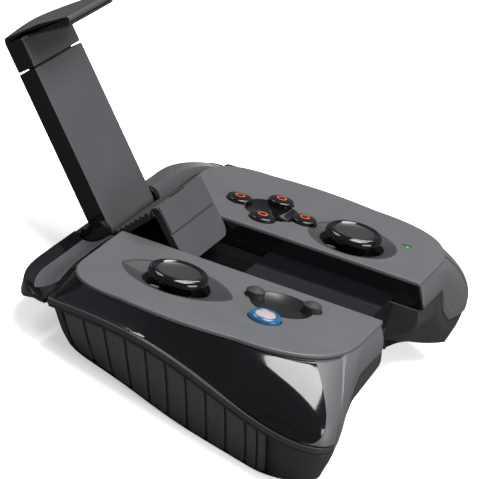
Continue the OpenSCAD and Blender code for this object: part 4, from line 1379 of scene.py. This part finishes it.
class CONTROLLER_OT_inner_parts(Piece, bpy.types.Operator):
    """Gives the CAD pieces that stay their finishes: pins, screws, boards, membranes, trays and cells."""

    bl_idname = "controller.inner_parts"
    bl_label = "Inner parts"

    def build(self, s, looks):
        inner = finish("inner_moulding", (0.03, 0.03, 0.032), 0.4, 0.5, 0.2, 2000.0)
        choices = {
            "hinge_pin": looks.jaw,
            "pin": looks.steel,
            "screws": looks.steel,
            "contacts": looks.steel,
            "board": finish("lacquered_board", (0.02, 0.09, 0.04), 0.2, 0.3, 0.3, 1200.0),
            "membrane": finish("grey_membrane", (0.3, 0.3, 0.29), 0.5, 0.6, 0.2, 1800.0),
            "carriage": finish("pale_silicone", (0.5, 0.5, 0.48), 0.35, 0.45, 0.1, 2000.0),
            "battery": finish("cell_sleeve", (0.42, 0.26, 0.07), 0.2, 0.3, 0.1, 1500.0),
        }
        for name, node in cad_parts.items():
            if not node.hide_render:
                fitting = [look for ending, look in choices.items() if name.endswith(ending)]
                node.data.materials.clear()
                node.data.materials.append(fitting[0] if fitting else inner)


class CONTROLLER_OT_stage(bpy.types.Operator):
    """Builds the pale floor, the studio light and the camera."""

    bl_idname = "controller.stage"
    bl_label = "Stage"

    def execute(self, context):
        s = sizes(context)
        self.floor()
        self.lights()
        self.world(context)
        self.camera(context, s)
        context.scene.view_settings.view_transform = "Standard"
        return {"FINISHED"}

    def floor(self):
        """Wide pale floor that the camera sees as white with the object's shadow."""
        floor = mesh_object("floor", [(-6, -6, 0), (6, -6, 0), (6, 6, 0), (-6, 6, 0)], [(0, 1, 2, 3)])
        material, tree, shader = new_material("pale_floor")
        rays = new_node(tree, "ShaderNodeLightPath").outputs
        tone = (0.45, 0.45, 0.45, 1)
        for ray, grey in (("Is Glossy Ray", 0.03), ("Is Camera Ray", 0.86)):
            inputs = {"Factor": rays[ray], 6: tone, 7: (grey, grey, grey, 1)}
            tone = new_node(tree, "ShaderNodeMix", inputs, data_type="RGBA").outputs[2]
        connect(tree, shader, {
            "Base Color": tone,
            "Emission Color": (1, 1, 1, 1),
            "Emission Strength": maths(tree, "MULTIPLY", rays["Is Camera Ray"], 0.5),
            "Roughness": 0.7,
        })
        floor.data.materials.append(material)

    def lights(self):
        """Large soft lamps round the object."""
        for name, place, aim, size, power in (
            ("top_lamp", (-0.085, -0.08, 1.03), (-0.085, -0.08, 0), (0.83, 0.64), 18.5),
            ("side_lamp", (0.75, 0.08, 1.0), (0, 0, 0.02), (0.5, 0.3), 4.0),
            ("rear_lamp", (0.1, 1.15, 0.95), (0, 0, 0.02), (0.8, 0.5), 6.0),
            ("front_lamp", (-0.3, -1.1, 0.5), (0, 0, 0.02), (0.8, 0.5), 9.0),
        ):
            lamp = bpy.data.lights.new(name, "AREA")
            lamp.shape = "RECTANGLE"
            lamp.size = size[0]
            lamp.size_y = size[1]
            lamp.energy = power
            obj = bpy.data.objects.new(name, lamp)
            obj.location = place
            direction = Vector(aim) - Vector(place)
            obj.rotation_euler = direction.to_track_quat("-Z", "Y").to_euler()
            bpy.context.scene.collection.objects.link(obj)

    def world(self, context):
        """Soft white surroundings."""
        world = bpy.data.worlds.new("studio")
        context.scene.world = world
        world.use_nodes = True
        tree = world.node_tree
        soft = connect(tree, tree.nodes["Background"], {"Color": (1, 1, 1, 1), "Strength": 0.4}).outputs[0]
        rays = new_node(tree, "ShaderNodeLightPath").outputs
        shown = soft
        for ray, tint, strength in (
            ("Is Glossy Ray", (0.9, 0.95, 1, 1), 0.12),
            ("Is Camera Ray", (1, 1, 1, 1), 1.0),
        ):
            other = new_node(tree, "ShaderNodeBackground", {"Color": tint, "Strength": strength}).outputs[0]
            shown = new_node(tree, "ShaderNodeMixShader", {"Fac": rays[ray], 1: shown, 2: other}).outputs[0]
        connect(tree, tree.nodes["World Output"], {"Surface": shown})

    def camera(self, context, s):
        """Long lens at the photographed angle, given from the level face."""
        azimuth = math.radians(-75.69)
        elevation = math.radians(19.88)
        roll = math.radians(14.01)
        aside = 1.28
        above = -2.04
        away = 925.94
        back = Vector((
            math.sin(azimuth) * math.cos(elevation),
            -math.cos(azimuth) * math.cos(elevation),
            math.sin(elevation),
        ))
        right = (-back).cross(Vector((0, 0, 1))).normalized()
        up = right.cross(-back)
        turned_right = right * math.cos(roll) + up * math.sin(roll)
        turned_up = up * math.cos(roll) - right * math.sin(roll)
        place = back * away - turned_right * aside - turned_up * above
        tilt = Matrix.Rotation(-s.face_tilt, 3, "X")
        axes = Matrix((tilt @ turned_right, tilt @ turned_up, tilt @ back)).transposed()
        data = bpy.data.cameras.new("studio_camera")
        data.lens = 263.2
        data.sensor_width = 36.0
        data.clip_end = 20.0
        camera = bpy.data.objects.new("studio_camera", data)
        camera.matrix_world = Matrix.Translation(seated(s, place)) @ axes.to_4x4()
        context.scene.collection.objects.link(camera)
        context.scene.camera = camera


class CONTROLLER_PT_panel(bpy.types.Panel):
    """Lists the pieces of the controller in the sidebar."""

    bl_idname = "CONTROLLER_PT_panel"
    bl_label = "Controller"
    bl_space_type = "VIEW_3D"
    bl_region_type = "UI"
    bl_category = "Controller"

    def draw(self, context):
        for step in STEPS:
            self.layout.operator(step.bl_idname)


STEPS = (
    CONTROLLER_OT_covers,
    CONTROLLER_OT_side_panels,
    CONTROLLER_OT_bottom_shell,
    CONTROLLER_OT_grip_pads,
    CONTROLLER_OT_channel_deck,
    CONTROLLER_OT_phone_arm,
    CONTROLLER_OT_jaws,
    CONTROLLER_OT_triggers,
    CONTROLLER_OT_buttons,
    CONTROLLER_OT_sticks,
    CONTROLLER_OT_doors,
    CONTROLLER_OT_inner_parts,
    CONTROLLER_OT_stage,
)
CLASSES = (ControllerShape, ControllerFinish) + STEPS + (CONTROLLER_PT_panel,)


def register():
    """Registers the classes and hangs the settings on the scene."""
    for item in CLASSES:
        bpy.utils.register_class(item)
    bpy.types.Scene.controller_shape = bpy.props.PointerProperty(type=ControllerShape)
    bpy.types.Scene.controller_finish = bpy.props.PointerProperty(type=ControllerFinish)


def unregister():
    """Takes the settings and classes away again."""
    del bpy.types.Scene.controller_finish
    del bpy.types.Scene.controller_shape
    for item in reversed(CLASSES):
        bpy.utils.unregister_class(item)


def main():
    """Builds every piece and the stage."""
    register()
    bpy.ops.controller.covers()
    bpy.ops.controller.side_panels()
    bpy.ops.controller.bottom_shell()
    bpy.ops.controller.grip_pads()
    bpy.ops.controller.channel_deck()
    bpy.ops.controller.phone_arm()
    bpy.ops.controller.jaws()
    bpy.ops.controller.triggers()
    bpy.ops.controller.buttons()
    bpy.ops.controller.sticks()
    bpy.ops.controller.doors()
    bpy.ops.controller.inner_parts()
    bpy.ops.controller.stage()


if __name__ == "__main__":
    main()
